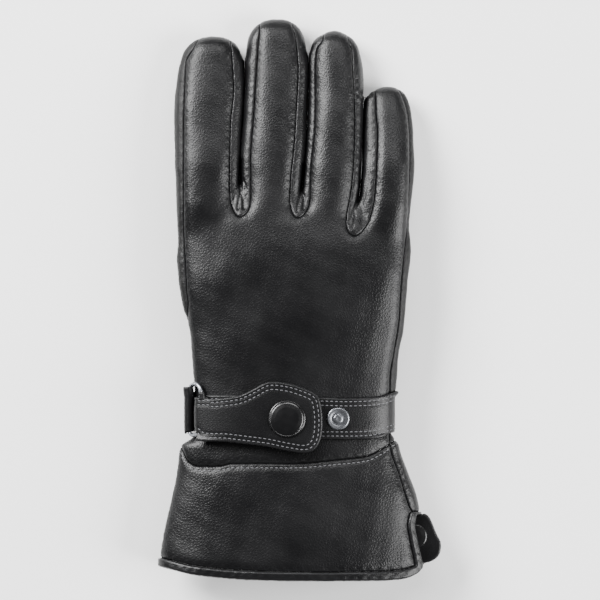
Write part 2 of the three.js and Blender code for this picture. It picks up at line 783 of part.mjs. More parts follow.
const stemRoom = stemDiameter / 2 + snapGap;
const tabHole = upright(stemRoom, slitMiddle - tabRoot, slitMiddle + tabRoot, tabStemX, tabStemY);
addPiece('cuff_tab', tabBlade.add(rootBand.intersect(rootBox)).subtract(tabHole), strapLeather);

// A turned part from its outline: radius and height pairs from the axis and back to it
function turned(outline) {
  const points = outline.map(([radius, height]) => new THREE.Vector2(radius, height));
  return new THREE.LatheGeometry(points, roundSides);
}

function addTurned(name, outline, material) {
  return addPiece(name, toSolid(turned(outline)), material);
}

const tabSnap = addTurned('cuff_tab_snap', [
  [0, -tabThickness - snapGap],
  [stemDiameter / 2, -tabThickness - snapGap],
  [stemDiameter / 2, 0],
  [tabSnapDiameter / 2, 0],
  [tabSnapDiameter / 2, tabSnapHeight * 0.55],
  [tabSnapDiameter * 0.4, tabSnapHeight * 0.9],
  [0, tabSnapHeight],
], enamel);
tabSnap.rotation.x = Math.PI / 2;
tabSnap.position.set(tabStemX, tabStemY, tabLow + tabThickness + snapGap);

// The strap follows the wrist at set distances from its surface
const wristPlace = {
  left: bodyAt(strapY, 'left'),
  right: bodyAt(strapY, 'right'),
  bottom: bodyAt(strapY, 'bottom'),
  top: bodyAt(strapY, 'top'),
  squareness: handSquareness,
};

function onWrist(degrees, offset) {
  const angle = THREE.MathUtils.degToRad(degrees);
  const fullness = 2 / wristPlace.squareness;
  const half = new THREE.Vector2(
    (wristPlace.right - wristPlace.left) / 2,
    (wristPlace.top - wristPlace.bottom) / 2,
  );
  const cos = Math.cos(angle);
  const sin = Math.sin(angle);
  const point = new THREE.Vector2(
    (wristPlace.left + wristPlace.right) / 2 + half.x * Math.sign(cos) * Math.abs(cos) ** fullness,
    (wristPlace.top + wristPlace.bottom) / 2 + half.y * Math.sign(sin) * Math.abs(sin) ** fullness,
  );
  const normal = new THREE.Vector2(
    (Math.sign(cos) * Math.abs(cos) ** (2 - fullness)) / half.x,
    (Math.sign(sin) * Math.abs(sin) ** (2 - fullness)) / half.y,
  ).normalize();
  return { point: point.addScaledVector(normal, offset), normal };
}

// The direction round the wrist at which a strap layer passes over a given x, on the back
function degreesAtX(x, offset) {
  let low = 5;
  let high = 178;
  for (let step = 0; step < 40; step += 1) {
    const middle = (low + high) / 2;
    if (onWrist(middle, offset).point.x > x) low = middle;
    else high = middle;
  }
  return (low + high) / 2;
}

const baseLow = layGap;
const baseHigh = baseLow + strapThickness;
const flapLow = baseHigh + ringWire + 2 * layGap;
const flapHigh = flapLow + strapThickness;
const legOffset = (baseHigh + flapLow) / 2;
const legA = degreesAtX(ringLegX, legOffset);

function distanceFromLegA(degrees) {
  return onWrist(degrees, legOffset).point.distanceTo(onWrist(legA, legOffset).point);
}

let legB = legA;
while (distanceFromLegA(legB) < ringLegSpacing) legB += 0.25;

function arcOf(from, to, offset) {
  const steps = Math.max(2, Math.ceil(Math.abs(to - from) / arcStep));
  return Array.from({ length: steps + 1 }, (_, step) => (
    onWrist(from + ((to - from) * step) / steps, offset).point
  ));
}

// Half a turn round a ring leg, from one layer of leather to the other
function foldOf(degrees, radius, away) {
  const { point, normal } = onWrist(degrees, legOffset);
  const along = new THREE.Vector2(-normal.y, normal.x).multiplyScalar(away);
  return Array.from({ length: 7 }, (_, step) => {
    const turn = -Math.PI / 2 + (step / 6) * Math.PI;
    return point.clone()
      .addScaledVector(normal, radius * Math.sin(turn))
      .addScaledVector(along, radius * Math.cos(turn));
  });
}

const foldIn = ringWire / 2 + layGap;
const foldOut = foldIn + strapThickness;
const flapEndX = ringLegX - foldOut + flapLength;
const flapEnd = degreesAtX(flapEndX, flapHigh);
const tail = keeperStart - 360;

const basePath = [
  ...arcOf(tail, legA, baseLow),
  ...foldOf(legA, foldOut, 1).slice(0, 3),
  ...foldOf(legA, foldIn, 1).slice(0, 3).reverse(),
  ...arcOf(legA, tail, baseHigh),
];
const flapPath = [
  ...foldOf(legA, foldOut, 1).slice(2),
  ...arcOf(legA, flapEnd - flapSpare, flapHigh).slice(1),
  ...arcOf(flapEnd - flapSpare, legA, flapLow),
  ...foldOf(legA, foldIn, 1).slice(2).reverse().slice(1),
];
const flapStartX = flapEndX - flapLength;

function flapEdge(rows, side) {
  return rows.map((row) => new THREE.Vector2(
    flapStartX + row.along * flapLength,
    strapY + (side * row.edge * strapWidth) / 2,
  ));
}

const flapOutline = [...flapEdge(flapUpper, 1), ...flapEdge(flapLower, -1)];
const strapBase = bar(basePath, strapY - strapWidth / 2, strapY + strapWidth / 2);
const flap = bar(flapPath, strapY - strapWidth, strapY + strapWidth)
  .intersect(prism(flapOutline, 0, highAbove));

// A peg along the wrist's normal, for the holes that the snaps pass through
function peg(degrees, low, high, radius, y) {
  const geometry = new THREE.CylinderGeometry(radius, radius, high - low, roundSides);
  const { point, normal } = onWrist(degrees, (low + high) / 2);
  const up = new THREE.Vector3(normal.x, 0, normal.y);
  geometry.applyQuaternion(new THREE.Quaternion().setFromUnitVectors(new THREE.Vector3(0, 1, 0), up));
  geometry.translate(point.x, y, point.y);
  return toSolid(geometry);
}

const capDegrees = degreesAtX(flapEndX - capFromFlapEnd, flapHigh);
const spareDegrees = degreesAtX(flapEndX - capFromFlapEnd + studSpacing, baseHigh);
const flapHole = peg(capDegrees, flapLow - cutPast, flapHigh + cutPast, stemRoom, strapY);
const closedHole = peg(capDegrees, baseLow - cutPast, baseHigh + cutPast, stemRoom, strapY);
const spareHole = peg(spareDegrees, baseLow - cutPast, baseHigh + cutPast, stemRoom, strapY);
const strap = strapBase.add(flap).subtract(flapHole).subtract(closedHole).subtract(spareHole);
addPiece('wrist_strap', strap, strapLeather);

// Snaps: turned parts set square to the strap
function setOnWrist(mesh, degrees, offset) {
  const { point, normal } = onWrist(degrees, offset);
  const up = new THREE.Vector3(normal.x, 0, normal.y);
  mesh.quaternion.setFromUnitVectors(new THREE.Vector3(0, 1, 0), up);
  mesh.position.set(point.x, strapY, point.y);
}

const stemLength = strapThickness + 2 * snapGap;
const cap = addTurned('snap_cap', [
  [0, -stemLength - socketFloor],
  [knobDiameter / 2 + knobRoom, -stemLength - socketFloor],
  [knobDiameter / 2 + knobRoom, -stemLength - socketHeight],
  [socketDiameter / 2, -stemLength - socketHeight],
  [socketDiameter / 2, -stemLength],
  [stemDiameter / 2, -stemLength],
  [stemDiameter / 2, 0],
  [capDiameter / 2, 0],
  [capDiameter / 2, capHeight * 0.4],
  [capDiameter * 0.46, capHeight * 0.7],
  [capDiameter * 0.34, capHeight * 0.9],
  [0, capHeight],
], enamel);
setOnWrist(cap, capDegrees, flapHigh + snapGap);

const closed = addTurned('snap_stud_closed', [
  [0, -strapThickness - snapGap],
  [stemDiameter / 2, -strapThickness - snapGap],
  [stemDiameter / 2, 0],
  [socketDiameter / 2, 0],
  [socketDiameter / 2, studFlange * 0.6],
  [knobDiameter / 2, studFlange * 0.6],
  [knobDiameter / 2, closedKnobHeight],
  [0, closedKnobHeight],
], metal);
setOnWrist(closed, capDegrees, baseHigh + snapGap);

const spare = addTurned('snap_stud_spare', [
  [0, -strapThickness - snapGap],
  [stemDiameter / 2, -strapThickness - snapGap],
  [stemDiameter / 2, 0],
  [studDiameter / 2, 0],
  [studDiameter / 2, studFlange * 0.7],
  [studDiameter * 0.44, studFlange],
  [knobDiameter * 0.42, studFlange],
  [knobDiameter * 0.42, knobHeight * 0.6],
  [knobDiameter / 2, knobHeight * 0.8],
  [knobDiameter * 0.42, knobHeight],
  [0, knobHeight],
], metal);
setOnWrist(spare, spareDegrees, baseHigh + snapGap);

// Keeper: a folded strip round the ring's outer leg, over the end of the strap on the palm side
const keeperIn = ringWire / 2 + layGap;
const keeperOut = keeperIn + keeperThickness;
const keeperEnd = keeperStart - keeperButt;

// A layer of the keeper, which stands off round the leg and then settles against the leather below
function keeperArc(from, to, atLeg, settled) {
  const steps = Math.ceil(Math.abs(to - from) / arcStep);
  return Array.from({ length: steps + 1 }, (_, step) => {
    const degrees = from + ((to - from) * step) / steps;
    const share = THREE.MathUtils.smoothstep(degrees, legB, legB + keeperSettle);
    return onWrist(degrees, THREE.MathUtils.lerp(atLeg, settled, share)).point;
  });
}

const keeperTop = baseHigh + layGap;
const keeperTip = keeperStart + keeperOverlap;
const keeperPath = [
  ...keeperArc(keeperEnd, legB, legOffset - keeperOut, layGap),
  ...foldOf(legB, keeperOut, -1).slice(1),
  ...keeperArc(legB, keeperTip, legOffset + keeperOut, keeperTop + keeperThickness).slice(1),
  ...keeperArc(keeperTip, legB, legOffset + keeperIn, keeperTop),
  ...foldOf(legB, keeperIn, -1).reverse().slice(1),
  ...keeperArc(legB, keeperEnd, legOffset - keeperIn, layGap + keeperThickness).slice(1),
];
const keeper = bar(keeperPath, strapY - strapWidth / 2, strapY + strapWidth / 2);
addPiece('ring_keeper', keeper, strapLeather);

// Ring: a round wire bent to a rectangle with round corners
function ringLoop() {
  const a = onWrist(legA, legOffset).point;
  const b = onWrist(legB, legOffset).point;
  const width = a.distanceTo(b);
  const middle = a.clone().add(b).divideScalar(2);
  const across = b.clone().sub(a).normalize();
  const halfAcross = width / 2 - ringCorner;
  const halfLong = strapWidth / 2 + ringShift + layGap + ringWire / 2 - ringCorner;
  const centres = [[1, 1], [-1, 1], [-1, -1], [1, -1]];
  const path = [];
  centres.forEach(([acrossSign, alongSign], index) => {
    for (let step = 0; step <= 3; step += 1) {
      const angle = ((index + step / 3) * Math.PI) / 2;
      const u = acrossSign * halfAcross + ringCorner * Math.cos(angle);
      const v = alongSign * halfLong + ringCorner * Math.sin(angle);
      path.push(new THREE.Vector3(
        middle.x + across.x * u,
        strapY + ringShift + v,
        middle.y + across.y * u,
      ));
    }
  });
  return { path, normal: new THREE.Vector3(-across.y, 0, across.x) };
}

function ringSolid() {
  const { path, normal } = ringLoop();
  const sides = 8;
  const points = [];
  const faces = [];
  path.forEach((point, index) => {
    const ahead = path[(index + 1) % path.length].clone().sub(path.at(index - 1)).normalize();
    const outward = ahead.clone().cross(normal);
    for (let side = 0; side < sides; side += 1) {
      const angle = (side / sides) * 2 * Math.PI;
      points.push(point.clone()
        .addScaledVector(outward, (Math.cos(angle) * ringWire) / 2)
        .addScaledVector(normal, (Math.sin(angle) * ringWire) / 2));
      const here = index * sides + side;
      const beside = index * sides + ((side + 1) % sides);
      const next = ((index + 1) % path.length) * sides;
      faces.push(here, next + side, beside);
      faces.push(beside, next + side, next + ((side + 1) % sides));
    }
  });
  const geometry = new THREE.BufferGeometry().setFromPoints(points);
  geometry.setIndex(faces);
  return toSolid(geometry);
}

addPiece('strap_ring', ringSolid(), metal);

// The glove is moved so that the origin is the middle of its underside
const bounds = new THREE.Box3().setFromObject(group);
const centre = bounds.getCenter(new THREE.Vector3());
group.position.set(-centre.x, -centre.y, -bounds.min.z);

export default group;
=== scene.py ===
"""Looks of a right-hand black leather gauntlet glove, lying palm down with its thumb folded under.

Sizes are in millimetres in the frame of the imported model: fingers along +Y, little finger at +X,
+Z up. make_piece turns them into metres.
"""
import math

import bpy
import numpy as np
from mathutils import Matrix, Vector


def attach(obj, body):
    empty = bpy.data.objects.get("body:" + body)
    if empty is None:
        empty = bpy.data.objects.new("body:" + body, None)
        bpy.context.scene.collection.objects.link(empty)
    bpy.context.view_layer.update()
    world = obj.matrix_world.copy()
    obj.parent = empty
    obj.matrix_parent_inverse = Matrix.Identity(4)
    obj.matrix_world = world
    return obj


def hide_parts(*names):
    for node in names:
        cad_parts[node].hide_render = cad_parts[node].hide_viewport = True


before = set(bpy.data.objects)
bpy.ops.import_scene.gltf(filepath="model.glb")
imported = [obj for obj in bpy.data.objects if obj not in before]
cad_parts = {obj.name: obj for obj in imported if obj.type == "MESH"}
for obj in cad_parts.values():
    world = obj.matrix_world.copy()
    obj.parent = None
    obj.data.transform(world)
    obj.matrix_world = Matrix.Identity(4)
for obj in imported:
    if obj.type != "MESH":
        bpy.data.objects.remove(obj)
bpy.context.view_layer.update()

MM = 0.001

# The picture: millimetres to a pixel, its width in pixels, and the pixel of the frame's origin
PIXEL = 0.48
PICTURE_SIZE = 600
PICTURE_X = 300.5
PICTURE_Y = 300.0

# Leather
WALL = 1.7
STRAP_THICKNESS = 1.8
BINDING_EXTRA = 0.5
BINDING_WIDTH = 4.5
SLIT_BINDING = 3.4
LAY_GAP = 0.35

# Hand and cuff
KNUCKLE_X = -3.21
WRIST_X = -3.71
PALM_LENGTH = 98.0
KNUCKLE_Y = 41.25
WRIST_Y = KNUCKLE_Y - PALM_LENGTH
CUFF_LENGTH = 77.8
HEM_Y = WRIST_Y - CUFF_LENGTH
HAND_THICKNESS = 22.5
WRIST_THICKNESS = 22.5
HEM_THICKNESS = 34.0
PALM_LIFT = 9.0
WRIST_WIDTH = 93.6
HEM_WIDTH = 127.2
HEM_RISE = 7.0
HAND_SQUARENESS = 2.4
HEM_SQUARENESS = 2.05
ULNAR_DROP = 11.0
SLIT_LENGTH = 31.5
SLIT_LOW = 2.0

# Fingers
FINGER_GAP = 0.8
FINGER_THICKNESS = 19.0
FINGER_LIFT = 18.6
FINGERTIP_LIFT = 8.7
FINGER_SQUARENESS = 2.2
WEB_SQUARENESS = 2.2
# Between two fingers: how far apart the skin is made, and how far apart it ends
OPEN_GAP = 2.8
SHUT_GAP = 0.12
SHUT_REACH = 8.0
SHUT_FADE = 6.0
KNUCKLE_RELAX = 70
CROTCH_RELAX = 16

# Thumb
THUMB_LENGTH = 85.0
THUMB_WIDTH = 37.0
THUMB_HEIGHT = 8.6
THUMB_SQUARENESS = 2.5
THUMB_TURN = -0.27
THUMB_X = -30.11
THUMB_Y = -42.75
MOUTH_LENGTH = 44.0
MOUTH_WIDTH = 27.0
MOUTH_AT = 0.32

# Strap, ring and snaps
STRAP_Y = WRIST_Y
STRAP_WIDTH = 20.8
STRAP_ROUND_SIDE = 12.0
FLAP_LENGTH = 61.0
RING_LEG_X = -47.71
RING_WIRE = 2.0
RING_LEG_SPACING = 7.6
RING_SHIFT = 2.4
RING_CORNER = 2.0
RING_BEND = 3.9
RING_LOW = -7.7
FOLD_LAP = 0.17
KEEPER_START = 246.0
KEEPER_OVERLAP = 14.0
KEEPER_THICKNESS = 1.15
KEEPER_LOW = -7.1
KEEPER_SETTLE = 8.0
CAP_DIAMETER = 17.8
CAP_HEIGHT = 1.8
CAP_FROM_FLAP_END = 16.6
STUD_SPACING = 24.4
STUD_DIAMETER = 10.9
KNOB_DIAMETER = 4.5
KNOB_HEIGHT = 2.1
TAB_SNAP_DIAMETER = 12.0
TAB_SNAP_HEIGHT = 1.3
TAB_THICKNESS = 1.8

# How finely the skin is made, and how far from a seam it is made finer
VOXEL = 0.95
SKIN_GAIN = 0.4
FINE_BAND = 2.2
SNAP_TO_SEAM = 0.12

# Seams: the rolled edge of a panel, and the dip that the thread pulls into the leather
ROLL = 1.0
DIP_DEPTH = 0.55
DIP_WIDTH = 2.3
CREASE_DEPTH = 0.6
CREASE_WIDTH = 0.7

# Topstitching
STITCH_PITCH = 2.3
STITCH_LENGTH = 1.6
THREAD_RADIUS = 0.24
FIRST_ROW = 1.8
SECOND_ROW = 3.8
CUFF_ROW = 2.2

# The paper under the glove: half its side, and how far it lies below the glove
FLOOR_HALF = 15000.0
FLOOR_DROP = 0.03


def table(columns, *rows):
    """A table's columns by name."""
    return dict(zip(columns.split(), np.array(rows, float).T))


# Each finger from the knuckle line to its tip: share of its reach, left and right edge as shares
# of its width from its axis, and its thickness share
FINGERS = [
    {"width": 30.8, "reach": 85.0, "rows": table(
        "along left right thick",
        (-0.13, -0.41, 0.41, 0.72),
        (0.06, -0.5, 0.5, 1),
        (0.25, -0.5, 0.5, 1),
        (0.6, -0.5, 0.575, 0.99),
        (0.74, -0.465, 0.595, 0.97),
        (0.9, -0.375, 0.525, 0.85),
        (0.955, -0.275, 0.44, 0.7),
        (0.988, -0.13, 0.3, 0.45),
        (1, 0.08, 0.08, 0),
    )},
    {"width": 28.4, "reach": 93.5, "rows": table(
        "along left right thick",
        (-0.13, -0.41, 0.41, 0.72),
        (0.05, -0.5, 0.5, 1),
        (0.21, -0.5, 0.55, 1),
        (0.38, -0.475, 0.605, 1),
        (0.67, -0.43, 0.64, 0.98),
        (0.87, -0.39, 0.58, 0.88),
        (0.935, -0.32, 0.51, 0.75),
        (0.98, -0.17, 0.37, 0.48),
        (1, 0.1, 0.1, 0),
    )},
    {"width": 26.6, "reach": 88.0, "rows": table(
        "along left right thick",
        (-0.13, -0.41, 0.41, 0.72),
        (0.05, -0.5, 0.505, 1),
        (0.21, -0.46, 0.56, 1),
        (0.38, -0.415, 0.59, 1),
        (0.7, -0.38, 0.605, 0.97),
        (0.895, -0.335, 0.53, 0.84),
        (0.95, -0.25, 0.43, 0.69),
        (0.985, -0.08, 0.27, 0.42),
        (1, 0.1, 0.1, 0),
    )},
    {"width": 25.8, "reach": 61.3, "rows": table(
        "along left right thick",
        (-0.25, -0.4, 0.42, 0.66),
        (0.07, -0.49, 0.5, 0.93),
        (0.26, -0.45, 0.53, 0.93),
        (0.6, -0.43, 0.51, 0.92),
        (0.75, -0.42, 0.475, 0.89),
        (0.87, -0.395, 0.42, 0.8),
        (0.94, -0.3, 0.35, 0.66),
        (0.982, -0.14, 0.22, 0.42),
        (1, 0.04, 0.04, 0),
    )},
]

DROOP = table(
    "along fall",
    (-0.25, -0.05), (0, 0), (0.25, 0.2), (0.5, 0.52), (0.75, 0.85), (0.9, 0.98), (1, 1),
)

# Webs between the fingers: how far up the glove each reaches, and its half sizes
WEBS = table(
    "reach long wide high",
    (55.5, 11, 5.5, 7.6), (52.5, 11, 5.5, 7.4), (47.5, 12, 6, 6.8),
)

# Hand and cuff across the glove: share of the length, share of the extra width, sideways shift,
# lift share, thickness share, and how far the row drops towards the little finger
PALM_ROWS = table(
    "along flare shift lift thick drop",
    (-0.075, 0.7, 0, 1.5, 0.42, 1),
    (-0.035, 0.88, 0, 1.2, 0.66, 1),
    (0.02, 0.99, 0.001, 1.02, 0.85, 1),
    (0.18, 0.9, -0.001, 1, 0.96, 0.4),
    (0.335, 0.776, -0.003, 1, 1.02, 0),
    (0.45, 0.61, 0.005, 1, 1.03, 0),
    (0.57, 0.424, 0.016, 1, 1.03, 0),
    (0.69, 0.26, 0.009, 1, 1.02, 0),
    (0.805, 0.165, 0.009, 1, 1, 0),
    (0.868, 0.12, 0.008, 0.97, 1, 0),
    (0.9, 0, 0, 0.96, 1, 0),
)
CUFF_ROWS = table(
    "along flare shift lift thick",
    (0.09, 0, 0, 0.955, 0),
    (0.122, 0.1, 0.002, 0.95, 0),
    (0.147, 0.23, -0.006, 0.93, 0.01),
    (0.17, 0.325, -0.012, 0.9, 0.04),
    (0.196, 0.345, -0.012, 0.86, 0.08),
    (0.35, 0.53, -0.001, 0.56, 0.42),
    (0.5, 0.73, 0.004, 0.36, 0.65),
    (0.79, 0.985, 0.002, 0.09, 0.94),
    (0.93, 1.06, 0.0025, 0.035, 1),
    (1.08, 1.15, 0.0025, 0, 1.04),
)

HEM_ROWS = table(
    "across rise",
    (-0.7, 1.6), (-0.5, 0.94), (-0.35, 0.36), (-0.15, 0.08), (0.1, 0), (0.32, 0.02),
    (0.41, 0.12), (0.47, 0.5), (0.51, 1.35), (0.7, 2.2),
)

THUMB_ROWS = table(
    "along width height",
    (0, 0, 0.2), (0.03, 0.58, 0.75), (0.09, 0.84, 0.95), (0.2, 0.99, 1), (0.4, 1, 1),
    (0.6, 0.9, 1), (0.78, 0.8, 1), (0.9, 0.66, 0.95), (0.965, 0.44, 0.78), (1, 0, 0.2),
)

# Seams as they lie in the picture, in pixels
INDEX_SEAM = table(
    "px py",
    (205, 20), (198, 40), (193, 48), (184.9, 63), (183.7, 100), (182.6, 150), (182.7, 200),
    (183.3, 233), (184.7, 267), (186, 291), (187.6, 303), (186, 325), (178, 360), (165, 470),
    (140, 600),
)
LITTLE_SEAM = table(
    "px py",
    (392, 70), (399, 89), (405, 100), (409, 118), (411, 142), (410, 200), (407.3, 233),
    (404, 264), (401.3, 291), (400, 320), (397.3, 339), (394, 357), (390.7, 377), (390.5, 400),
    (390, 434), (391, 446), (400, 474), (410, 506), (418, 520), (430, 600),
)
CUFF_SEAM = table(
    "px py",
    (150, 400), (176, 438), (182, 450), (188, 461), (198, 465.6), (216, 465.6), (234, 462.6),
    (290, 462.6), (340, 459), (366, 456), (380, 450), (391, 443), (410, 425), (450, 390),
)
BASE_TOP = table(
    "px py",
    (392.4, 390.6), (387, 393.4), (376, 396.4), (350, 397.6), (325, 397), (300, 396), (262, 395.2),
    (240, 394.6), (206, 394.6),
)
BASE_BOTTOM = table(
    "px py",
    (206, 439), (320, 439.2), (350, 439.3), (368, 438.8), (380, 436.8), (388, 433.8), (392.4, 431.8),
)
FLAP_EDGE = table(
    "px py",
    (199.6, 397.4), (199.7, 391.2), (205.3, 391.2), (205.4, 397.9),
    (214.7, 398.4), (226.3, 397.2), (239.6, 395), (252.9, 388.9),
    (262.8, 383.4), (270.5, 381.2), (280, 381.6), (292.7, 383.9), (304.3, 387.8), (313.4, 391.8),
    (318.6, 396.8), (321, 404.7), (322.4, 416.3), (322.2, 429.6), (320.4, 439.5), (316.2, 447.2),
    (310.4, 451.4), (304.3, 452.6), (296, 451.9), (282.7, 449.5), (266.1, 446.1), (246.2, 443.6),
    (226.3, 441.2), (209.8, 440.8), (201, 439.7), (196, 437.6),
)
TAB_EDGE = table(
    "px py",
    (396, 518), (412, 517), (419, 514.6), (424, 513.2), (428, 515.4), (431.4, 521), (437, 534.6),
    (440.4, 541), (441, 548), (439, 554.6), (434, 559.6), (426, 562.6), (412, 563), (398, 562),
    (396, 540), (396, 520),
)
TAB_SNAP = table("px py", (414.5, 536))
SLIT_EDGE = table("px py", (423, 505), (417, 515), (415.5, 524), (418, 540), (422, 560), (426, 600))
GAP_STRIPS = [
    table(
        "px py",
        (228, 0), (230, 40), (232, 48), (234, 75), (234.6, 93), (232, 119), (231.3, 141),
        (230.6, 170), (231, 195), (232.4, 206), (235, 213), (239.8, 217), (245, 214),
        (248.6, 208.5), (249.8, 198), (249.8, 180), (249.6, 159), (251.2, 133), (253.4, 106),
        (255.4, 73), (257.3, 43), (259, 31), (261, 0),
    ),
    table(
        "px py",
        (288, 0), (292.7, 26.5), (296.8, 40), (299, 66), (298.5, 93), (296.8, 119), (294.7, 149),
        (291.7, 176), (290.8, 198), (291.6, 209), (294, 215.6), (297.8, 217.8), (302.6, 215.4),
        (306.6, 210), (308.8, 201), (309.4, 186), (309.8, 170), (311.7, 149), (313.7, 131),
        (313.9, 93), (314.7, 60), (316.7, 48), (323.4, 36.5), (328, 0),
    ),
    table(
        "px py",
        (343, 0), (349, 40), (352.9, 50), (353.2, 66), (354.9, 90), (355.7, 116), (355.7, 146),
        (354, 172.5), (350.9, 197), (347.4, 214), (346.6, 226), (349.6, 233.4), (355.4, 235.8),
        (361, 232.4), (366.3, 225), (370, 215), (373.4, 198), (375.4, 175), (376.7, 133),
        (375.3, 113), (374.8, 98), (373, 60), (372, 0),
    ),
]
# Creases where two fingers meet, with the share of the full depth that each has
CREASES = [
    (1, table("px py", (241, 160), (240.5, 178), (240.8, 192), (239, 201), (238, 209))),
    (1, table("px py", (240.8, 192), (243.4, 200), (243.8, 208))),
    (0.6, table("px py", (240.6, 178), (243.8, 182), (245.4, 189))),
    (1, table("px py", (304, 165), (301.4, 192), (298.8, 203), (297.2, 211))),
    (1, table("px py", (301.4, 192), (304, 199), (303.4, 208))),
    (1, table("px py", (361.6, 165), (359.8, 192), (356.6, 204), (352.4, 214), (348.6, 223))),
    (0.6, table("px py", (354.2, 211), (354.8, 219), (352.4, 228))),
    (0.3, table("px py", (370, 152), (368.4, 176), (364.6, 196), (362, 204), (361.6, 222))),
]


def from_picture(rows):
    """Points of the picture as X and Y in the frame."""
    return np.stack([(rows["px"] - PICTURE_X) * PIXEL, (PICTURE_Y - rows["py"]) * PIXEL], 1)


def smooth(known, values, at):
    """A smooth curve through a table's values, which overshoots none of them."""
    step = np.diff(known)
    slope = np.diff(values) / step
    together = slope[1:] * slope[:-1]
    total = np.where(together > 0, slope[1:] + slope[:-1], 1)
    lean = np.where(together > 0, 2 * together / total, 0)
    tangent = np.concatenate([slope[:1], lean, slope[-1:]])
    at = np.clip(at, known[0], known[-1])
    index = np.clip(np.searchsorted(known, at, side="right") - 1, 0, len(step) - 1)
    share = (at - known[index]) / step[index]
    start = (1 + 2 * share) * (1 - share) ** 2 * values[index]
    start_lean = share * (1 - share) ** 2 * tangent[index] * step[index]
    end = share**2 * (3 - 2 * share) * values[index + 1]
    end_lean = share**2 * (share - 1) * tangent[index + 1] * step[index]
    return start + start_lean + end + end_lean


def ease(value, low, high):
    """0 below low, 1 above high, and smooth in between."""
    share = np.clip((value - low) / (high - low), 0, 1)
    return share * share * (3 - 2 * share)


def hump(distance, width):
    """1 at a distance of 0, and smoothly down to 0 on both sides."""
    return np.exp(-((distance / width) ** 2))


def rounded_path(corners, spacing=1.0):
    """A smooth line through a few points, with a point every spacing."""
    ahead = np.vstack([2 * corners[0] - corners[1], corners, 2 * corners[-1] - corners[-2]])
    points = [corners[:1]]
    for a, b, c, d in zip(ahead, ahead[1:], ahead[2:], ahead[3:]):
        count = max(2, int(np.linalg.norm(c - b) / spacing))
        t = (np.arange(1, count + 1) / count)[:, None]
        points.append(0.5 * (
            2 * b + (c - a) * t + (2 * a - 5 * b + 4 * c - d) * t**2 + (3 * b - a - 3 * c + d) * t**3
        ))
    return np.vstack(points)


def line_distance(points, line):
    """Distance in plan from each point to a line."""
    best = np.full(len(points), 1e9)
    for start, end in zip(line, line[1:]):
        along = end - start
        share = np.clip(((points[:, :2] - start) @ along) / max(along @ along, 1e-9), 0, 1)
        offset = points[:, :2] - start - share[:, None] * along
        best = np.minimum(best, np.einsum("ij,ij->i", offset, offset))
    return np.sqrt(best)


def within(points, outline):
    """Distance in plan to a closed outline, below 0 outside it."""
    inside = np.zeros(len(points), bool)
    x, y = points[:, 0], points[:, 1]
    for (x0, y0), (x1, y1) in zip(outline, np.roll(outline, -1, 0)):
        spans = (y0 > y) != (y1 > y)
        rise = y1 - y0 if y1 != y0 else 1e-9
        inside ^= spans & (x < x0 + (y - y0) * (x1 - x0) / rise)
    return np.where(inside, 1, -1) * line_distance(points, np.vstack([outline, outline[:1]]))


# Meshes as arrays of points and of triangles

def mesh_edges(faces):
    """Each edge once, and the places in that list of a triangle's edges."""
    ends = np.sort(np.stack([faces, np.roll(faces, -1, 1)], 2), 2)
    edges, place = np.unique(ends.reshape(-1, 2), axis=0, return_inverse=True)
    return edges, place.reshape(-1, 3)


def split_edges(points, faces, shares):
    """Splits triangles at a new point on each edge that has a share from its lower point."""
    edges, place = mesh_edges(faces)
    share = shares(edges)
    split = ~np.isnan(share)
    ids = np.full(len(edges), -1)
    ids[split] = len(points) + np.arange(split.sum())
    low, high = points[edges[split]].swapaxes(0, 1)
    points = np.vstack([points, low + share[split, None] * (high - low)])
    middle = ids[place]
    count = (middle >= 0).sum(1)
    made = [faces[count == 0]]
    corner = faces[count == 3]
    new = middle[count == 3]
    for side in range(3):
        made.append(np.stack([corner[:, side], new[:, side], new[:, side - 1]], 1))
    made.append(new)
    for side in range(3):
        turn = [side, (side + 1) % 3, (side + 2) % 3]
        one = (count == 1) & (middle[:, side] >= 0)
        a, b, c = faces[one][:, turn].T
        m = middle[one, side]
        two = (count == 2) & (middle[:, side] < 0)
        made += [np.stack([a, m, c], 1), np.stack([m, b, c], 1)]
        a, b, c = faces[two][:, turn].T
        _, near_b, near_a = middle[two][:, turn].T
        for corners in ((c, near_a, near_b), (a, b, near_b), (a, near_b, near_a)):
            made.append(np.stack(corners, 1))
    return points, np.vstack(made)


def refine(points, faces, distance, band):
    """Halves the edges that lie within a band of the seams."""
    near = distance(points) < band
    return split_edges(points, faces, lambda edges: np.where(near[edges].all(1), 0.5, np.nan))


def cut(points, faces, field):
    """Cuts triangles where a field is 0, and returns the sides where it is above and below 0."""
    value = field(points)
    value[np.abs(value) < SNAP_TO_SEAM] = 0

    def shares(edges):
        first, second = value[edges].T
        crossing = first * second < 0
        return np.where(crossing, first / np.where(crossing, first - second, 1), np.nan)

    old = len(points)
    points, faces = split_edges(points, faces, shares)
    value = np.concatenate([value, np.zeros(len(points) - old)])
    above = value[faces].sum(1) > 0
    return (points, faces[above]), (points, faces[~above])


def two_sides(points, faces):
    """Two sides of each triangle, from its first corner."""
    first, second, third = points[faces].swapaxes(0, 1)
    return second - first, third - first


def compact(points, faces):
    """Drops the points that no triangle uses, and triangles with no area."""
    faces = faces[np.linalg.norm(np.cross(*two_sides(points, faces)), axis=1) > 1e-7]
    used, place = np.unique(faces, return_inverse=True)
    return points[used], place.reshape(-1, 3)


def point_sum(faces, values, count):
    """The sum, at each point, of a value that its triangles have."""
    total = np.zeros((count, *values.shape[1:]))
    for corner in range(3):
        np.add.at(total, faces[:, corner], values)
    return total


def point_normals(points, faces):
    total = point_sum(faces, np.cross(*two_sides(points, faces)), len(points))
    return total / np.maximum(np.linalg.norm(total, axis=1, keepdims=True), 1e-12)


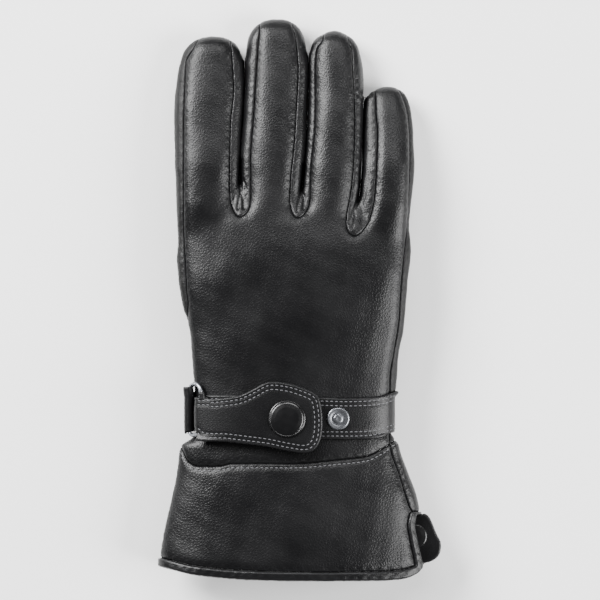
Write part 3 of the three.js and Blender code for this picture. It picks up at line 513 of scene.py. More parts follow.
def along_surface(points, faces, value):
    """A field's distance to 0 measured along the surface instead of in plan."""
    e1, e2 = two_sides(points, faces)
    normal = np.cross(e1, e2)
    size = np.maximum(np.einsum("ij,ij->i", normal, normal), 1e-12)[:, None]
    rise1, rise2 = (value[faces[:, 1:]] - value[faces[:, :1]]).T[..., None]
    lean = (rise1 * np.cross(e2, normal) + rise2 * np.cross(normal, e1)) / size
    steep = np.minimum(np.linalg.norm(lean, axis=1), 1)
    total = point_sum(faces, steep, len(points))
    count = point_sum(faces, np.ones(len(faces)), len(points))
    return np.abs(value) / np.maximum(total / np.maximum(count, 1), 0.35)


def shell(points, faces, distance, thickness, roll, raised=0.0, valley=0.0, pressed=0.0):
    """Gives a surface its thickness, with edges that roll over like folded leather.

    distance is each point's way to the free edge. raised lifts the outer side, valley sinks both
    sides, and pressed thins the leather from both. Returns the points, the triangles, and the
    distance of each point."""
    edges, edge_of = mesh_edges(faces)
    rim = np.zeros(len(points), bool)
    rim[edges[np.bincount(edge_of.ravel()) == 1]] = True
    distance = np.where(rim, 0, distance)
    normal = point_normals(points, faces)
    bend = np.sqrt(1 - (1 - np.clip(distance / roll, 0, 1)) ** 2)
    middle = (raised - thickness) / 2
    outer = middle + (raised - middle - pressed) * bend - valley
    inner = middle - (middle + thickness - pressed) * bend - valley
    place = np.arange(len(points))
    place[~rim] = len(points) + np.arange((~rim).sum())
    return (
        np.vstack([points + normal * outer[:, None], (points + normal * inner[:, None])[~rim]]),
        np.vstack([faces, place[faces][:, ::-1]]),
        np.concatenate([distance, distance[~rim]]),
    )


def contour(points, faces, value):
    """The lines on a surface where a value is 0, each as points in order."""
    value = np.where(np.abs(value) < 1e-6, 1e-6, value)
    edges, place = mesh_edges(faces)
    first, second = value[edges].T
    crossing = first * second < 0
    share = first / np.where(crossing, first - second, 1)
    at = points[edges[:, 0]] + share[:, None] * (points[edges[:, 1]] - points[edges[:, 0]])
    hit = crossing[place]
    both = hit.sum(1) == 2
    links = {}
    for a, b in place[both][hit[both]].reshape(-1, 2).tolist():
        links.setdefault(a, []).append(b)
        links.setdefault(b, []).append(a)
    lines = []
    seen = set()
    for start in sorted(links, key=lambda key: len(links[key])):
        if start in seen:
            continue
        line = [start]
        while line:
            seen.add(line[-1])
            onward = [near for near in links[line[-1]] if near not in seen]
            if not onward:
                break
            line.append(onward[0])
        if start in links[line[-1]] and len(line) > 2:
            line.append(start)
        lines.append(at[line])
    return lines


def grid_corners(rows, columns, joined_rows=False, joined_columns=False):
    """The four corners of each cell in a grid of points, which may join up with itself."""
    row = np.arange(rows - (not joined_rows))[:, None]
    column = np.arange(columns - (not joined_columns))
    next_row = (row + 1) % rows
    next_column = (column + 1) % columns
    return [(r * columns + c).ravel() for r in (row, next_row) for c in (column, next_column)]


def ring_faces(rows, columns, joined_rows):
    here, beside, ahead, across = grid_corners(rows, columns, joined_rows, True)
    return np.vstack([np.stack([here, ahead, beside], 1), np.stack([beside, ahead, across], 1)])


def tube(rings):
    """A closed tube through rings of points, with a middle point at each end."""
    count, sides = rings.shape[:2]
    around = np.arange(sides)
    after = (around + 1) % sides
    end = np.full(sides, count * sides)
    last = (count - 1) * sides
    return np.vstack([rings.reshape(-1, 3), rings[0].mean(0), rings[-1].mean(0)]), np.vstack([
        ring_faces(count, sides, False),
        np.stack([end, around, after], 1),
        np.stack([end + 1, last + after, last + around], 1),
    ])


def outward(points, faces):
    """A closed mesh with its triangles turned outwards."""
    a, b, c = points[faces].swapaxes(0, 1)
    volume = np.einsum("ij,ij->i", a, np.cross(b, c)).sum()
    return points, faces if volume > 0 else faces[:, ::-1]


def make_piece(name, points, faces, node=None, slot=None, edge=None):
    """A mesh in metres. With a slot it is a finished piece that stands for a node. edge is each
    point's distance to the edge of its leather."""
    mesh = bpy.data.meshes.new(name)
    mesh.vertices.add(len(points))
    mesh.vertices.foreach_set("co", (points * MM).astype(np.float32).ravel())
    mesh.loops.add(faces.size)
    mesh.loops.foreach_set("vertex_index", faces.astype(np.int32).ravel())
    mesh.polygons.add(len(faces))
    mesh.polygons.foreach_set("loop_start", np.arange(0, faces.size, faces.shape[1], dtype=np.int32))
    mesh.update(calc_edges=True)
    mesh.validate()
    mesh.polygons.foreach_set("use_smooth", np.ones(len(mesh.polygons), bool))
    if edge is not None:
        mesh.attributes.new("edge", "FLOAT", "POINT").data.foreach_set("value", edge.astype(np.float32))
    piece = bpy.data.objects.new(name, mesh)
    bpy.context.scene.collection.objects.link(piece)
    if slot:
        mesh.materials.append(FINISHES[slot])
        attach(piece, "root")
        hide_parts(node)
    return piece


def evaluated(piece):
    """The triangles of a piece after its modifiers, in millimetres; the piece is removed."""
    graph = bpy.context.evaluated_depsgraph_get()
    mesh = bpy.data.meshes.new_from_object(piece.evaluated_get(graph))
    mesh.calc_loop_triangles()
    points = np.empty(len(mesh.vertices) * 3)
    mesh.vertices.foreach_get("co", points)
    faces = np.empty(len(mesh.loop_triangles) * 3, np.int32)
    mesh.loop_triangles.foreach_get("vertices", faces)
    bpy.data.objects.remove(piece)
    bpy.data.meshes.remove(mesh)
    return points.reshape(-1, 3) / MM, faces.reshape(-1, 3).astype(int)


def skin_over(tubes, rounds):
    """One skin over closed tubes that run into each other, evened out in rounds."""
    points = []
    faces = []
    start = 0
    for tube_points, tube_faces in tubes:
        points.append(tube_points)
        faces.append(tube_faces + start)
        start += len(tube_points)
    form = make_piece("form", np.vstack(points), np.vstack(faces))
    remesh = form.modifiers.new("skin", "REMESH")
    remesh.mode = "VOXEL"
    remesh.voxel_size = VOXEL * MM
    even = form.modifiers.new("even", "SMOOTH")
    even.factor = 0.5
    even.iterations = rounds
    return evaluated(form)


# Form of the hand, fingers and cuff

KNUCKLE_WIDTH = sum(finger["width"] for finger in FINGERS) + 3 * FINGER_GAP


def finger_axis(index):
    before = sum(finger["width"] + FINGER_GAP for finger in FINGERS[:index])
    return KNUCKLE_X - KNUCKLE_WIDTH / 2 + before + FINGERS[index]["width"] / 2


def finger_edge(index, column, y):
    """X of a finger's left or right edge at a distance up the glove."""
    finger = FINGERS[index]
    rows = finger["rows"]
    short = np.sqrt(np.clip(1 - (y - KNUCKLE_Y) / finger["reach"], 0, None))
    known = np.sqrt(1 - rows["along"])
    return finger_axis(index) + finger["width"] * smooth(known[::-1], rows[column][::-1], short)


def finger_middle(index, y):
    """Height of a finger's middle at a distance up the glove."""
    along = (y - KNUCKLE_Y) / FINGERS[index]["reach"]
    fall = smooth(DROOP["along"], DROOP["fall"], along)
    return FINGER_LIFT + (FINGERTIP_LIFT - FINGER_LIFT) * fall


def gap_width(index, y):
    return finger_edge(index + 1, "left", y) - finger_edge(index, "right", y)


def gap_middle(index, y):
    return (finger_edge(index, "right", y) + finger_edge(index + 1, "left", y)) / 2


def spread(index, y):
    """How far each side of a gap between two fingers is held back while the skin is made."""
    return np.clip(OPEN_GAP - gap_width(index, y), 0, None) / 2


def shut(index, y):
    """How far each side of a gap between two fingers moves in again once the skin is made."""
    gap = gap_width(index, y)
    final = SHUT_GAP + (gap - SHUT_GAP) * ease(gap, 0.8, OPEN_GAP)
    return spread(index, y) + (gap - final) / 2


def oval_rings(y, left, right, bottom, top, squareness, sides):
    """Rings of points across the glove, flattened where they meet the floor."""
    angle = np.linspace(0, 2 * math.pi, sides, endpoint=False)
    full = 2 / np.asarray(squareness, float)[..., None]
    across = np.sign(np.cos(angle)) * np.abs(np.cos(angle)) ** full
    up = np.sign(np.sin(angle)) * np.abs(np.sin(angle)) ** full
    x = ((left + right) / 2)[:, None] + ((right - left) / 2)[:, None] * across
    z = ((top + bottom) / 2)[:, None] + ((top - bottom) / 2)[:, None] * up
    return np.stack([x, np.broadcast_to(y[:, None], x.shape), np.maximum(z, 0)], 2)


def finger_tube(index, sides=56, stations=110):
    finger = FINGERS[index]
    rows = finger["rows"]
    known = np.sqrt(1 - rows["along"])[::-1]
    short = np.linspace(known[-1], 0.004, stations)
    y = KNUCKLE_Y + finger["reach"] * (1 - short**2)
    left = finger_edge(index, "left", y)
    right = finger_edge(index, "right", y)
    if index > 0:
        left = left + spread(index - 1, y)
    if index < len(FINGERS) - 1:
        right = right - spread(index, y)
    half = FINGER_THICKNESS * smooth(known, rows["thick"][::-1], short) / 2
    middle = finger_middle(index, y)
    return tube(oval_rings(y, left, right, middle - half, middle + half, FINGER_SQUARENESS, sides))


def body_columns():
    """The hand's and the cuff's rows as one table in millimetres, from the hem to the fingers."""
    columns = {}
    for rows, y, width, middle, top, square, drop in (
        (
            PALM_ROWS,
            KNUCKLE_Y - PALM_LENGTH * PALM_ROWS["along"],
            WRIST_WIDTH + (KNUCKLE_WIDTH - WRIST_WIDTH) * PALM_ROWS["flare"],
            WRIST_X + (KNUCKLE_X - WRIST_X) * PALM_ROWS["flare"] + PALM_ROWS["shift"] * WRIST_WIDTH,
            HAND_THICKNESS * PALM_ROWS["thick"],
            np.full(len(PALM_ROWS["along"]), HAND_SQUARENESS),
            PALM_ROWS["drop"],
        ),
        (
            CUFF_ROWS,
            WRIST_Y - CUFF_LENGTH * CUFF_ROWS["along"],
            WRIST_WIDTH + (HEM_WIDTH - WRIST_WIDTH) * CUFF_ROWS["flare"],
            WRIST_X + CUFF_ROWS["shift"] * HEM_WIDTH,
            WRIST_THICKNESS + (HEM_THICKNESS - WRIST_THICKNESS) * CUFF_ROWS["thick"],
            HAND_SQUARENESS + (HEM_SQUARENESS - HAND_SQUARENESS) * CUFF_ROWS["thick"],
            np.zeros(len(CUFF_ROWS["along"])),
        ),
    ):
        bottom = PALM_LIFT * rows["lift"]
        part = {"y": y, "left": middle - width / 2, "right": middle + width / 2, "bottom": bottom,
                "top": bottom + top, "square": square, "drop": drop}
        for key, values in part.items():
            columns.setdefault(key, []).append(values)
    return {key: np.concatenate(parts)[::-1] for key, parts in columns.items()}


BODY = body_columns()


def body_at(y, column):
    return smooth(BODY["y"], BODY[column], y)


def body_tube(sides=120, stations=240):
    y = np.linspace(BODY["y"][0], BODY["y"][-1], stations)[::-1]
    columns = [body_at(y, key) for key in ("left", "right", "bottom", "top", "square")]
    rings = oval_rings(y, *columns, sides)
    slope_from = finger_axis(1) + FINGERS[1]["width"] / 2
    share = (rings[..., 0] - slope_from) / (KNUCKLE_X + KNUCKLE_WIDTH / 2 - slope_from)
    rings[..., 1] -= body_at(y, "drop")[:, None] * ULNAR_DROP * np.clip(share, 0, None)
    return tube(rings[::-1])


def lane(x, y):
    """Which finger each point belongs to."""
    return sum((x > gap_middle(index, np.clip(y, KNUCKLE_Y, 130))).astype(int) for index in range(3))


def middle_height(points):
    """Height of the side seams under or over each point."""
    x, y = points[:, 0], points[:, 1]
    body = (body_at(y, "bottom") + body_at(y, "top")) / 2
    fingers = np.choose(lane(x, y), [finger_middle(index, y) for index in range(4)])
    return body + (fingers - body) * ease(y, KNUCKLE_Y - 5, KNUCKLE_Y + 12)


def web(index, sides=40, stations=40):
    """The leather that joins two fingers at their root."""
    reach, long, wide, high = (WEBS[key][index] for key in ("reach", "long", "wide", "high"))
    turn = np.linspace(0.02, math.pi - 0.02, stations)
    y = reach - long - long * np.cos(turn)
    size = np.sin(turn)
    x = gap_middle(index, reach)
    z = (finger_middle(index, reach) + finger_middle(index + 1, reach)) / 2
    sides_of = (x - wide * size, x + wide * size, z - high * size, z + high * size)
    return tube(oval_rings(y, *sides_of, WEB_SQUARENESS, sides))


def relax(points, faces, weight, rounds):
    """Evens a surface out where the weight is above 0."""
    ahead = np.roll(faces, -1, 1)
    a = np.concatenate([faces.T.ravel(), ahead.T.ravel()])
    b = np.concatenate([ahead.T.ravel(), faces.T.ravel()])
    some = weight[a] > 0
    a, b = a[some], b[some]
    count = np.maximum(np.bincount(a, minlength=len(points)), 1)
    for _ in range(rounds):
        for axis in range(3):
            mean = np.bincount(a, points[b, axis], len(points)) / count
            points[:, axis] += weight * 0.6 * (mean - points[:, axis])
    return points


def knuckle_weight(points):
    """Where the fingers run into the hand, away from the strips between them."""
    x, y = points[:, 0], points[:, 1]
    weight = ease(y, 18, 30) * (1 - ease(y, 52, 66))
    for index in range(3):
        away = np.hypot(x - gap_middle(index, 50.0), np.clip(40 - y, 0, None))
        weight = weight * ease(away, 2.5, 7)
    return weight


def crotch_weight(points):
    """Where two shut fingers part from the web between them."""
    weight = np.zeros(len(points))
    for index in range(3):
        across = (points[:, 0] - gap_middle(index, points[:, 1])) / 4.5
        along = (points[:, 1] - WEBS["reach"][index] + 1) / 6
        weight = np.maximum(weight, np.exp(-(across**2) - along**2))
    return np.where(weight > 0.02, weight, 0)


def glove_skin():
    """One smooth outer skin over the fingers, the hand and the cuff, with the fingers shut."""
    tubes = [body_tube()] + [finger_tube(index) for index in range(4)] + [web(index) for index in range(3)]
    points, faces = skin_over(tubes, 7)
    points = relax(points, faces, knuckle_weight(points), KNUCKLE_RELAX)
    points = points + SKIN_GAIN * point_normals(points, faces)
    y = points[:, 1]
    for index in range(3):
        offset = points[:, 0] - gap_middle(index, y)
        away = np.abs(offset)
        top = WEBS["reach"][index]
        step = shut(index, y) * ease(y, top - SHUT_FADE, top) * (1 - ease(away, 1.5, SHUT_REACH))
        points[:, 0] += np.sign(offset) * (np.maximum(away - step, 0.06 * away) - away)
    return relax(points, faces, crotch_weight(points), CROTCH_RELAX), faces


# Where the seams run

INDEX_LINE = from_picture(INDEX_SEAM)
LITTLE_LINE = from_picture(LITTLE_SEAM)
CUFF_LINE = from_picture(CUFF_SEAM)
SLIT_LINE = from_picture(SLIT_EDGE)
CREASE_LINES = [(share, rounded_path(from_picture(rows), 0.5)) for share, rows in CREASES]
SLIT_TOP = HEM_Y + SLIT_LENGTH
SLIT_MIDDLE = sum(float(body_at(SLIT_TOP - SLIT_LENGTH / 2, key)) for key in ("bottom", "top")) / 2


def seam_x(line, y):
    """X of a seam that runs down the glove."""
    return smooth(line[::-1, 1], line[::-1, 0], y)


def side_field(points):
    """Above 0 on the back of the hand, below 0 on the palm."""
    x, y, z = points.T
    between = np.minimum(x - seam_x(INDEX_LINE, y), seam_x(LITTLE_LINE, y) - x)
    return np.minimum(between, z - middle_height(points))


def cuff_field(points):
    """Above 0 on the hand's side of the seam between hand and cuff."""
    return points[:, 1] - smooth(CUFF_LINE[:, 0], CUFF_LINE[:, 1], points[:, 0])


def cuff_row(points):
    """0 on the row of stitches beside that seam."""
    return cuff_field(points) + CUFF_ROW


def hem_field(points):
    """Above 0 inside the hem."""
    across = (points[:, 0] - WRIST_X) / HEM_WIDTH
    return points[:, 1] - HEM_Y - HEM_RISE * smooth(HEM_ROWS["across"], HEM_ROWS["rise"], across)


def slit_field(points):
    """Above 0 in the slit at the little finger's side of the cuff."""
    x, y, z = points.T
    beyond = np.minimum(2 * (SLIT_TOP - y), x - seam_x(SLIT_LINE, y))
    return np.minimum(beyond, z - (SLIT_MIDDLE - SLIT_LOW))


def binding_field(points):
    """Above 0 on the bound edge of the hem and of the slit."""
    return np.maximum(BINDING_WIDTH - hem_field(points), slit_field(points) + SLIT_BINDING)


def tip_share(points):
    """0 along a finger and 1 at its tip, where the seams flatten out."""
    reach = np.choose(lane(points[:, 0], points[:, 1]), [finger["reach"] for finger in FINGERS])
    return ease((points[:, 1] - KNUCKLE_Y) / reach, 0.88, 0.98)


def strip_field(rows, far=12.0):
    """A field above 0 on the strip between two fingers, and no further from 0 than far."""
    outline = rounded_path(from_picture(rows))
    low = outline.min(0) - far
    high = outline.max(0) + far

    def field(points):
        x, y = points[:, 0], points[:, 1]
        near = np.flatnonzero((y > low[1]) & (x > low[0]) & (x < high[0]))
        value = np.full(len(points), -far)
        value[near] = np.clip(within(points[near], outline), -far, far)
        return value

    return field


STRIP_FIELDS = [strip_field(rows) for rows in GAP_STRIPS]


def creased(points):
    """How far the creases where two fingers meet sink in, as a share, on the back only."""
    deepest = np.zeros(len(points))
    top = points[:, 2] > middle_height(points)
    near = np.flatnonzero((points[:, 1] > 25) & (points[:, 1] < 80) & top)
    for share, line in CREASE_LINES:
        depth = share * hump(line_distance(points[near], line), CREASE_WIDTH)
        deepest[near] = np.maximum(deepest[near], depth)
    return deepest


def nearest_seam(points):
    """Distance to any seam or crease, for the finer mesh."""
    best = np.where(creased(points) > 0.01, 0, 99.0)
    for field in [side_field, cuff_field, hem_field, slit_field, binding_field] + STRIP_FIELDS:
        best = np.minimum(best, np.abs(field(points)))
    return best


def ripple(points):
    """The leather's own slight unevenness, in millimetres along its normal."""
    x, y, z = points.T
    soft = np.sin(x * 0.16 + 1.3) * np.sin(y * 0.11 + 0.4) + 0.6 * np.sin(x * 0.07 - y * 0.19 + z * 0.2)
    fine = np.sin(x * 0.41 + y * 0.23) * np.sin(y * 0.37 - x * 0.15 + z * 0.3)
    return 0.16 * soft + 0.07 * fine


def pucker(points, distance):
    """Small gathers beside a seam, where the thread pulls."""
    x, y = points[:, 0], points[:, 1]
    wave = np.sin(y * 1.55 + 0.8 * np.sin(y * 0.31)) * np.sin(x * 1.3 + 0.7 * np.sin(x * 0.23) + 0.6)
    return 0.07 * wave * hump(distance - 1.6, 1.3)


def panel(name, mesh, fields, node, slot, thickness=WALL, raised=0.0, dip=DIP_DEPTH, row=None):
    """A leather panel between seams. row is a field whose 0 line is stitched: it returns that line."""
    points, faces = compact(*mesh)
    distance = np.full(len(points), 99.0)
    for field in fields:
        distance = np.minimum(distance, along_surface(points, faces, field(points)))
    flat_tip = tip_share(points)
    stitched = np.full(len(points), 9.0) if row is None else row(points)
    valley = dip * (1 - 0.9 * flat_tip) * hump(distance, DIP_WIDTH) + CREASE_DEPTH * creased(points)
    valley = valley + 0.15 * hump(stitched, 0.6)
    relief = ripple(points) + pucker(points, distance)
    points = points + point_normals(points, faces) * relief[:, None]
    points[:, 2] = np.maximum(points[:, 2], 0.02 + raised)
    thick = thickness * (1 - 0.7 * flat_tip)
    made, made_faces, distance = shell(points, faces, distance, thick, ROLL, raised, valley)
    made[:, 2] = np.maximum(made[:, 2], 0)
    make_piece(name, made, made_faces, node, slot, distance)
    return contour(made[:len(points)], faces, stitched)


# Materials

def linear(colour):
    """An sRGB hex colour as linear values."""
    values = [int(colour[place:place + 2], 16) / 255 for place in (1, 3, 5)]
    return [v / 12.92 if v <= 0.04045 else ((v + 0.055) / 1.055) ** 2.4 for v in values] + [1]


def add(tree, kind, settings=None, **links):
    """Adds a node with its settings. A link's value is a plain value, a socket, or a node, whose
    first output it then is."""
    node = tree.nodes.new(kind)
    for name, value in (settings or {}).items():
        setattr(node, name, value)
    for name, value in links.items():
        socket = node.inputs[int(name[1:]) if name[1:].isdigit() else name.replace("_", " ")]
        if isinstance(value, bpy.types.Node):
            value = value.outputs[0]
        if isinstance(value, bpy.types.NodeSocket):
            tree.links.new(value, socket)
        else:
            socket.default_value = value
    return node


def new_material(name):
    """A material, its empty tree and the Object coordinates there."""
    material = bpy.data.materials.new(name)
    material.use_nodes = True
    tree = material.node_tree
    tree.nodes.clear()
    return material, tree, add(tree, "ShaderNodeTexCoord").outputs["Object"]


def finish_material(material, **settings):
    tree = material.node_tree
    shader = add(tree, "ShaderNodeBsdfPrincipled", **settings)
    add(tree, "ShaderNodeOutputMaterial", Surface=shader)
    return material


def leather(name, dark, worn, grain, relief, rough, gloss):
    """Dyed leather: pebbled grain, uneven finish, and edges rubbed paler.

    grain is the size of a pebble in millimetres, and relief its height."""
    material, tree, place = new_material(name)
    warp = add(tree, "ShaderNodeTexNoise", Vector=place, Scale=0.3 / (grain * MM), Detail=2.0)
    bent = add(tree, "ShaderNodeVectorMath", {"operation": "MULTIPLY_ADD"},
               _0=warp.outputs["Color"], _1=(0.4 * grain * MM,) * 3, _2=place)
    cells = add(tree, "ShaderNodeTexVoronoi", {"feature": "DISTANCE_TO_EDGE"}, Vector=bent,
                Scale=1 / (grain * MM))
    pebble = add(tree, "ShaderNodeMapRange", {"interpolation_type": "SMOOTHSTEP"}, Value=cells,
                 From_Max=0.32)
    pores = add(tree, "ShaderNodeTexNoise", Vector=place, Scale=2.2 / (grain * MM), Detail=3.0)
    height = add(tree, "ShaderNodeMath", {"operation": "MULTIPLY_ADD"}, _0=pores, _1=0.35, _2=pebble)
    bump = add(tree, "ShaderNodeBump", Height=height, Distance=relief * MM, Strength=1.0)
    patches = add(tree, "ShaderNodeTexNoise", Vector=place, Scale=1 / (28 * MM), Detail=4.0)
    edge = add(tree, "ShaderNodeAttribute", {"attribute_name": "edge"})
    rub = add(tree, "ShaderNodeMapRange", Value=edge.outputs["Fac"], From_Min=0.25, From_Max=1.5,
              To_Min=1.0, To_Max=0.0)
    uneven = add(tree, "ShaderNodeMapRange", Value=patches, From_Min=0.35, From_Max=0.7, To_Max=0.25)
    wear = add(tree, "ShaderNodeMath", {"operation": "MAXIMUM"}, _0=rub, _1=uneven)
    colour = add(tree, "ShaderNodeMix", {"data_type": "RGBA"}, Factor=wear, _6=linear(dark),
                 _7=linear(worn))
    roughness = add(tree, "ShaderNodeMapRange", Value=patches, From_Min=0.3, From_Max=0.7,
                    To_Min=rough - 0.05, To_Max=rough + 0.06)
    return finish_material(material, Base_Color=colour.outputs[2], Roughness=roughness, Normal=bump,
                           Specular_IOR_Level=gloss, IOR=1.5)


def plated(name, colour, rough):
    """Plated metal: fine polish marks in every direction and a slightly uneven shine."""
    material, tree, place = new_material(name)
    marks = add(tree, "ShaderNodeTexNoise", Vector=place, Scale=1 / (0.5 * MM), Detail=5.0, Roughness=0.7)
    roughness = add(tree, "ShaderNodeMapRange", Value=marks, From_Min=0.3, From_Max=0.7,
                    To_Min=rough - 0.06, To_Max=rough + 0.08)
    bump = add(tree, "ShaderNodeBump", Height=marks, Distance=0.006 * MM, Strength=1.0)
    return finish_material(material, Base_Color=linear(colour), Metallic=1.0, Roughness=roughness,
                           Normal=bump)


def stoved_enamel(name, colour, rough):
    """Sprayed and baked paint over brass: glossy, with the faint orange peel of sprayed paint."""
    material, tree, place = new_material(name)
    peel = add(tree, "ShaderNodeTexNoise", Vector=place, Scale=1 / (1.1 * MM), Detail=2.0)
    bump = add(tree, "ShaderNodeBump", Height=peel, Distance=0.012 * MM, Strength=1.0)
    dust = add(tree, "ShaderNodeTexNoise", Vector=place, Scale=1 / (6 * MM), Detail=3.0)
    roughness = add(tree, "ShaderNodeMapRange", Value=dust, From_Min=0.3, From_Max=0.7,
                    To_Min=rough - 0.04, To_Max=rough + 0.06)
    return finish_material(material, Base_Color=linear(colour), Roughness=roughness, Normal=bump, IOR=1.5)


def waxed_thread(name, colour):
    """Bonded polyester thread: twisted plies, matt, a little paler than the leather."""
    material, tree, place = new_material(name)
    plies = add(tree, "ShaderNodeTexNoise", Vector=place, Scale=1 / (0.25 * MM), Detail=2.0)
    bump = add(tree, "ShaderNodeBump", Height=plies, Distance=0.05 * MM, Strength=1.0)
    tone = add(tree, "ShaderNodeMapRange", Value=plies, From_Min=0.3, From_Max=0.7, To_Min=0.8, To_Max=1.15)
    shade = add(tree, "ShaderNodeVectorMath", {"operation": "SCALE"}, _0=linear(colour)[:3], Scale=tone)
    return finish_material(material, Base_Color=shade, Roughness=0.6, Normal=bump)


FINISHES = {
    # Full-grain cowhide, drum dyed: small pebbles and a soft shine. The pebble is drawn at twice
    # its real size so that it shows.
    "black_leather": leather("drum_dyed_cowhide", "#060607", "#141415", 1.3, 0.045, 0.37, 0.24),
    # The palm is the same hide, buffed duller for grip
    "palm_leather": leather("buffed_palm_hide", "#080808", "#151516", 1.1, 0.05, 0.47, 0.22),
    # Strap and binding are a smoother, tighter leather with a pressed shine
    "strap_leather": leather("pressed_strap_hide", "#070708", "#161617", 0.9, 0.03, 0.33, 0.24),
    # Nickel plated brass, a little darkened: a soft grey mirror
    "gunmetal": plated("darkened_nickel_plate", "#8e9095", 0.28),
    # Stoved enamel on the snap caps: deep black gloss
    "black_enamel": stoved_enamel("black_stoved_enamel", "#070708", 0.24),
}
THREAD = waxed_thread("bonded_thread", "#515154")


# Hand and cuff panels

skin_points, skin_faces = refine(*glove_skin(), nearest_seam, FINE_BAND)
skin, _ = cut(skin_points, skin_faces, hem_field)
hand, cuff = cut(*skin, cuff_field)

for node, field in zip(("fourchette_index_middle", "fourchette_middle_ring", "fourchette_ring_little"),
                       STRIP_FIELDS):
    strip, hand = cut(*hand, field)
    panel(node + "_strip", strip, [field], node, "black_leather")

hand_fields = [side_field, cuff_field] + STRIP_FIELDS
hand_back, hand_palm = cut(*hand, side_field)
panel("hand_back_panel", hand_back, hand_fields, "hand_back", "black_leather")
panel("hand_palm_panel", hand_palm, hand_fields, "hand_palm", "palm_leather")

_, cuff = cut(*cuff, slit_field)
binding, cuff = cut(*cuff, binding_field)
panel("cuff_binding_edge", binding, [hem_field, slit_field, binding_field], "cuff_binding", "strap_leather",
      thickness=WALL + BINDING_EXTRA, raised=BINDING_EXTRA, dip=0.0)
cuff_fields = [side_field, cuff_field, binding_field]
cuff_rows = []
for node, side in zip(("gauntlet_back", "gauntlet_palm"), cut(*cuff, side_field)):
    cuff_rows += panel(node + "_panel", side, cuff_fields, node, "black_leather", row=cuff_row)


# Strap, keeper, ring and tab

WRIST = {key: float(body_at(STRAP_Y, key)) for key in ("left", "right", "bottom", "top")}
WRIST_MIDDLE = np.array([WRIST["left"] + WRIST["right"], WRIST["top"] + WRIST["bottom"]]) / 2
WRIST_HALF = np.array([WRIST["right"] - WRIST["left"], WRIST["top"] - WRIST["bottom"]]) / 2
BASE_HIGH = LAY_GAP + STRAP_THICKNESS
FLAP_LOW = BASE_HIGH + RING_WIRE + 2 * LAY_GAP
FLAP_HIGH = FLAP_LOW + STRAP_THICKNESS
LEG_OFFSET = (BASE_HIGH + FLAP_LOW) / 2
ROUND_RING = RING_WIRE / 2 + LAY_GAP


def on_wrist(degrees, offset):
    """A point round the wrist, in X and Z, at a distance from it, and the direction outwards."""
    angle = np.radians(degrees)
    full = 2 / HAND_SQUARENESS
    ray = np.stack([np.cos(angle), np.sin(angle)], -1)
    point = WRIST_MIDDLE + WRIST_HALF * np.sign(ray) * np.abs(ray) ** full
    out = np.sign(ray) * np.abs(ray) ** (2 - full) / WRIST_HALF
    out = out / np.linalg.norm(out, axis=-1, keepdims=True)
    return point + out * np.asarray(offset)[..., None], out


def degrees_at_x(x, offset):
    """The direction round the wrist at which a layer passes over an X, on the back."""
    degrees = np.linspace(5, 178, 3000)
    point, _ = on_wrist(degrees, offset)
    return float(np.interp(-x, -point[:, 0], degrees))


def degrees_beyond(start, offset, far):
    """The direction round the wrist that lies at a distance beyond another one."""
    degrees = np.linspace(start, start + 80, 2000)
    point, _ = on_wrist(degrees, offset)
    return float(degrees[np.argmax(np.linalg.norm(point - point[0], axis=1) >= far)])


LEG_A = degrees_at_x(RING_LEG_X, LEG_OFFSET)
LEG_B = degrees_beyond(LEG_A, LEG_OFFSET, RING_LEG_SPACING)


def layer(start, end, offset, settled=None):
    """A stretch of strip round the wrist, between two directions in degrees. Beyond the ring's
    outer leg it comes down to a settled offset."""
    degrees = np.linspace(start, end, max(3, int(abs(end - start) * 1.5)))
    if settled is not None:
        offset = offset + (settled - offset) * ease(degrees, LEG_B, LEG_B + KEEPER_SETTLE)
    return on_wrist(degrees, offset)


class Strip:
    """A strip of leather round the wrist, folded round a leg of the ring: u runs along it, v along Y.

    side is 1 where the fold opens away from the fingers' left and -1 where it opens to it."""

    def __init__(self, under, leg, side, radius, over):
        centre, out = on_wrist(leg, LEG_OFFSET)
        turn = np.linspace(-math.pi / 2, math.pi / 2, 25)[1:-1]
        along = np.array([-out[1], out[0]]) * side
        ray = np.sin(turn)[:, None] * out + np.cos(turn)[:, None] * along
        self.points = np.vstack([under[0], centre + radius * ray, over[0]])
        self.sides = np.vstack([under[1], -ray, -over[1]])
        step = np.linalg.norm(np.diff(self.points, axis=0), axis=1)
        self.u = np.concatenate([[0], np.cumsum(step)])
        self.length = self.u[-1]
        self.fold_start = self.u[len(under[0]) - 1]
        self.fold_end = self.u[-len(over[0])]
        self.lap = (self.fold_end - self.fold_start) * FOLD_LAP

    def place(self, flat, offset=0.0):
        """Flat points set in the frame, at an offset from the strip's middle. Beside the wrist the
        strip lies on the wider hand and cuff."""
        u, y = flat[:, 0], STRAP_Y + flat[:, 1]
        middle, side = (np.array([np.interp(u, self.u, column) for column in rows.T])
                        for rows in (self.points, self.sides))
        x, z = middle + offset * side
        x = x + (body_at(y, "right") - WRIST["right"]) * ease(x, 15, 42)
        x = x - (WRIST["left"] - body_at(y, "left")) * ease(-x, 25, 50)
        return np.stack([x, y, z], 1)


def strap_strip():
    """The strap's path: from the palm round the back, round the ring and back as the flap."""
    middle = STRAP_THICKNESS / 2
    fold = ROUND_RING + middle
    flap_end = degrees_at_x(RING_LEG_X - fold - middle + FLAP_LENGTH, FLAP_HIGH) - 4
    base = layer(KEEPER_START - 360, LEG_A, LAY_GAP + middle)
    flap = layer(LEG_A, flap_end, FLAP_LOW + middle)
    return Strip(base, LEG_A, 1, fold, flap)


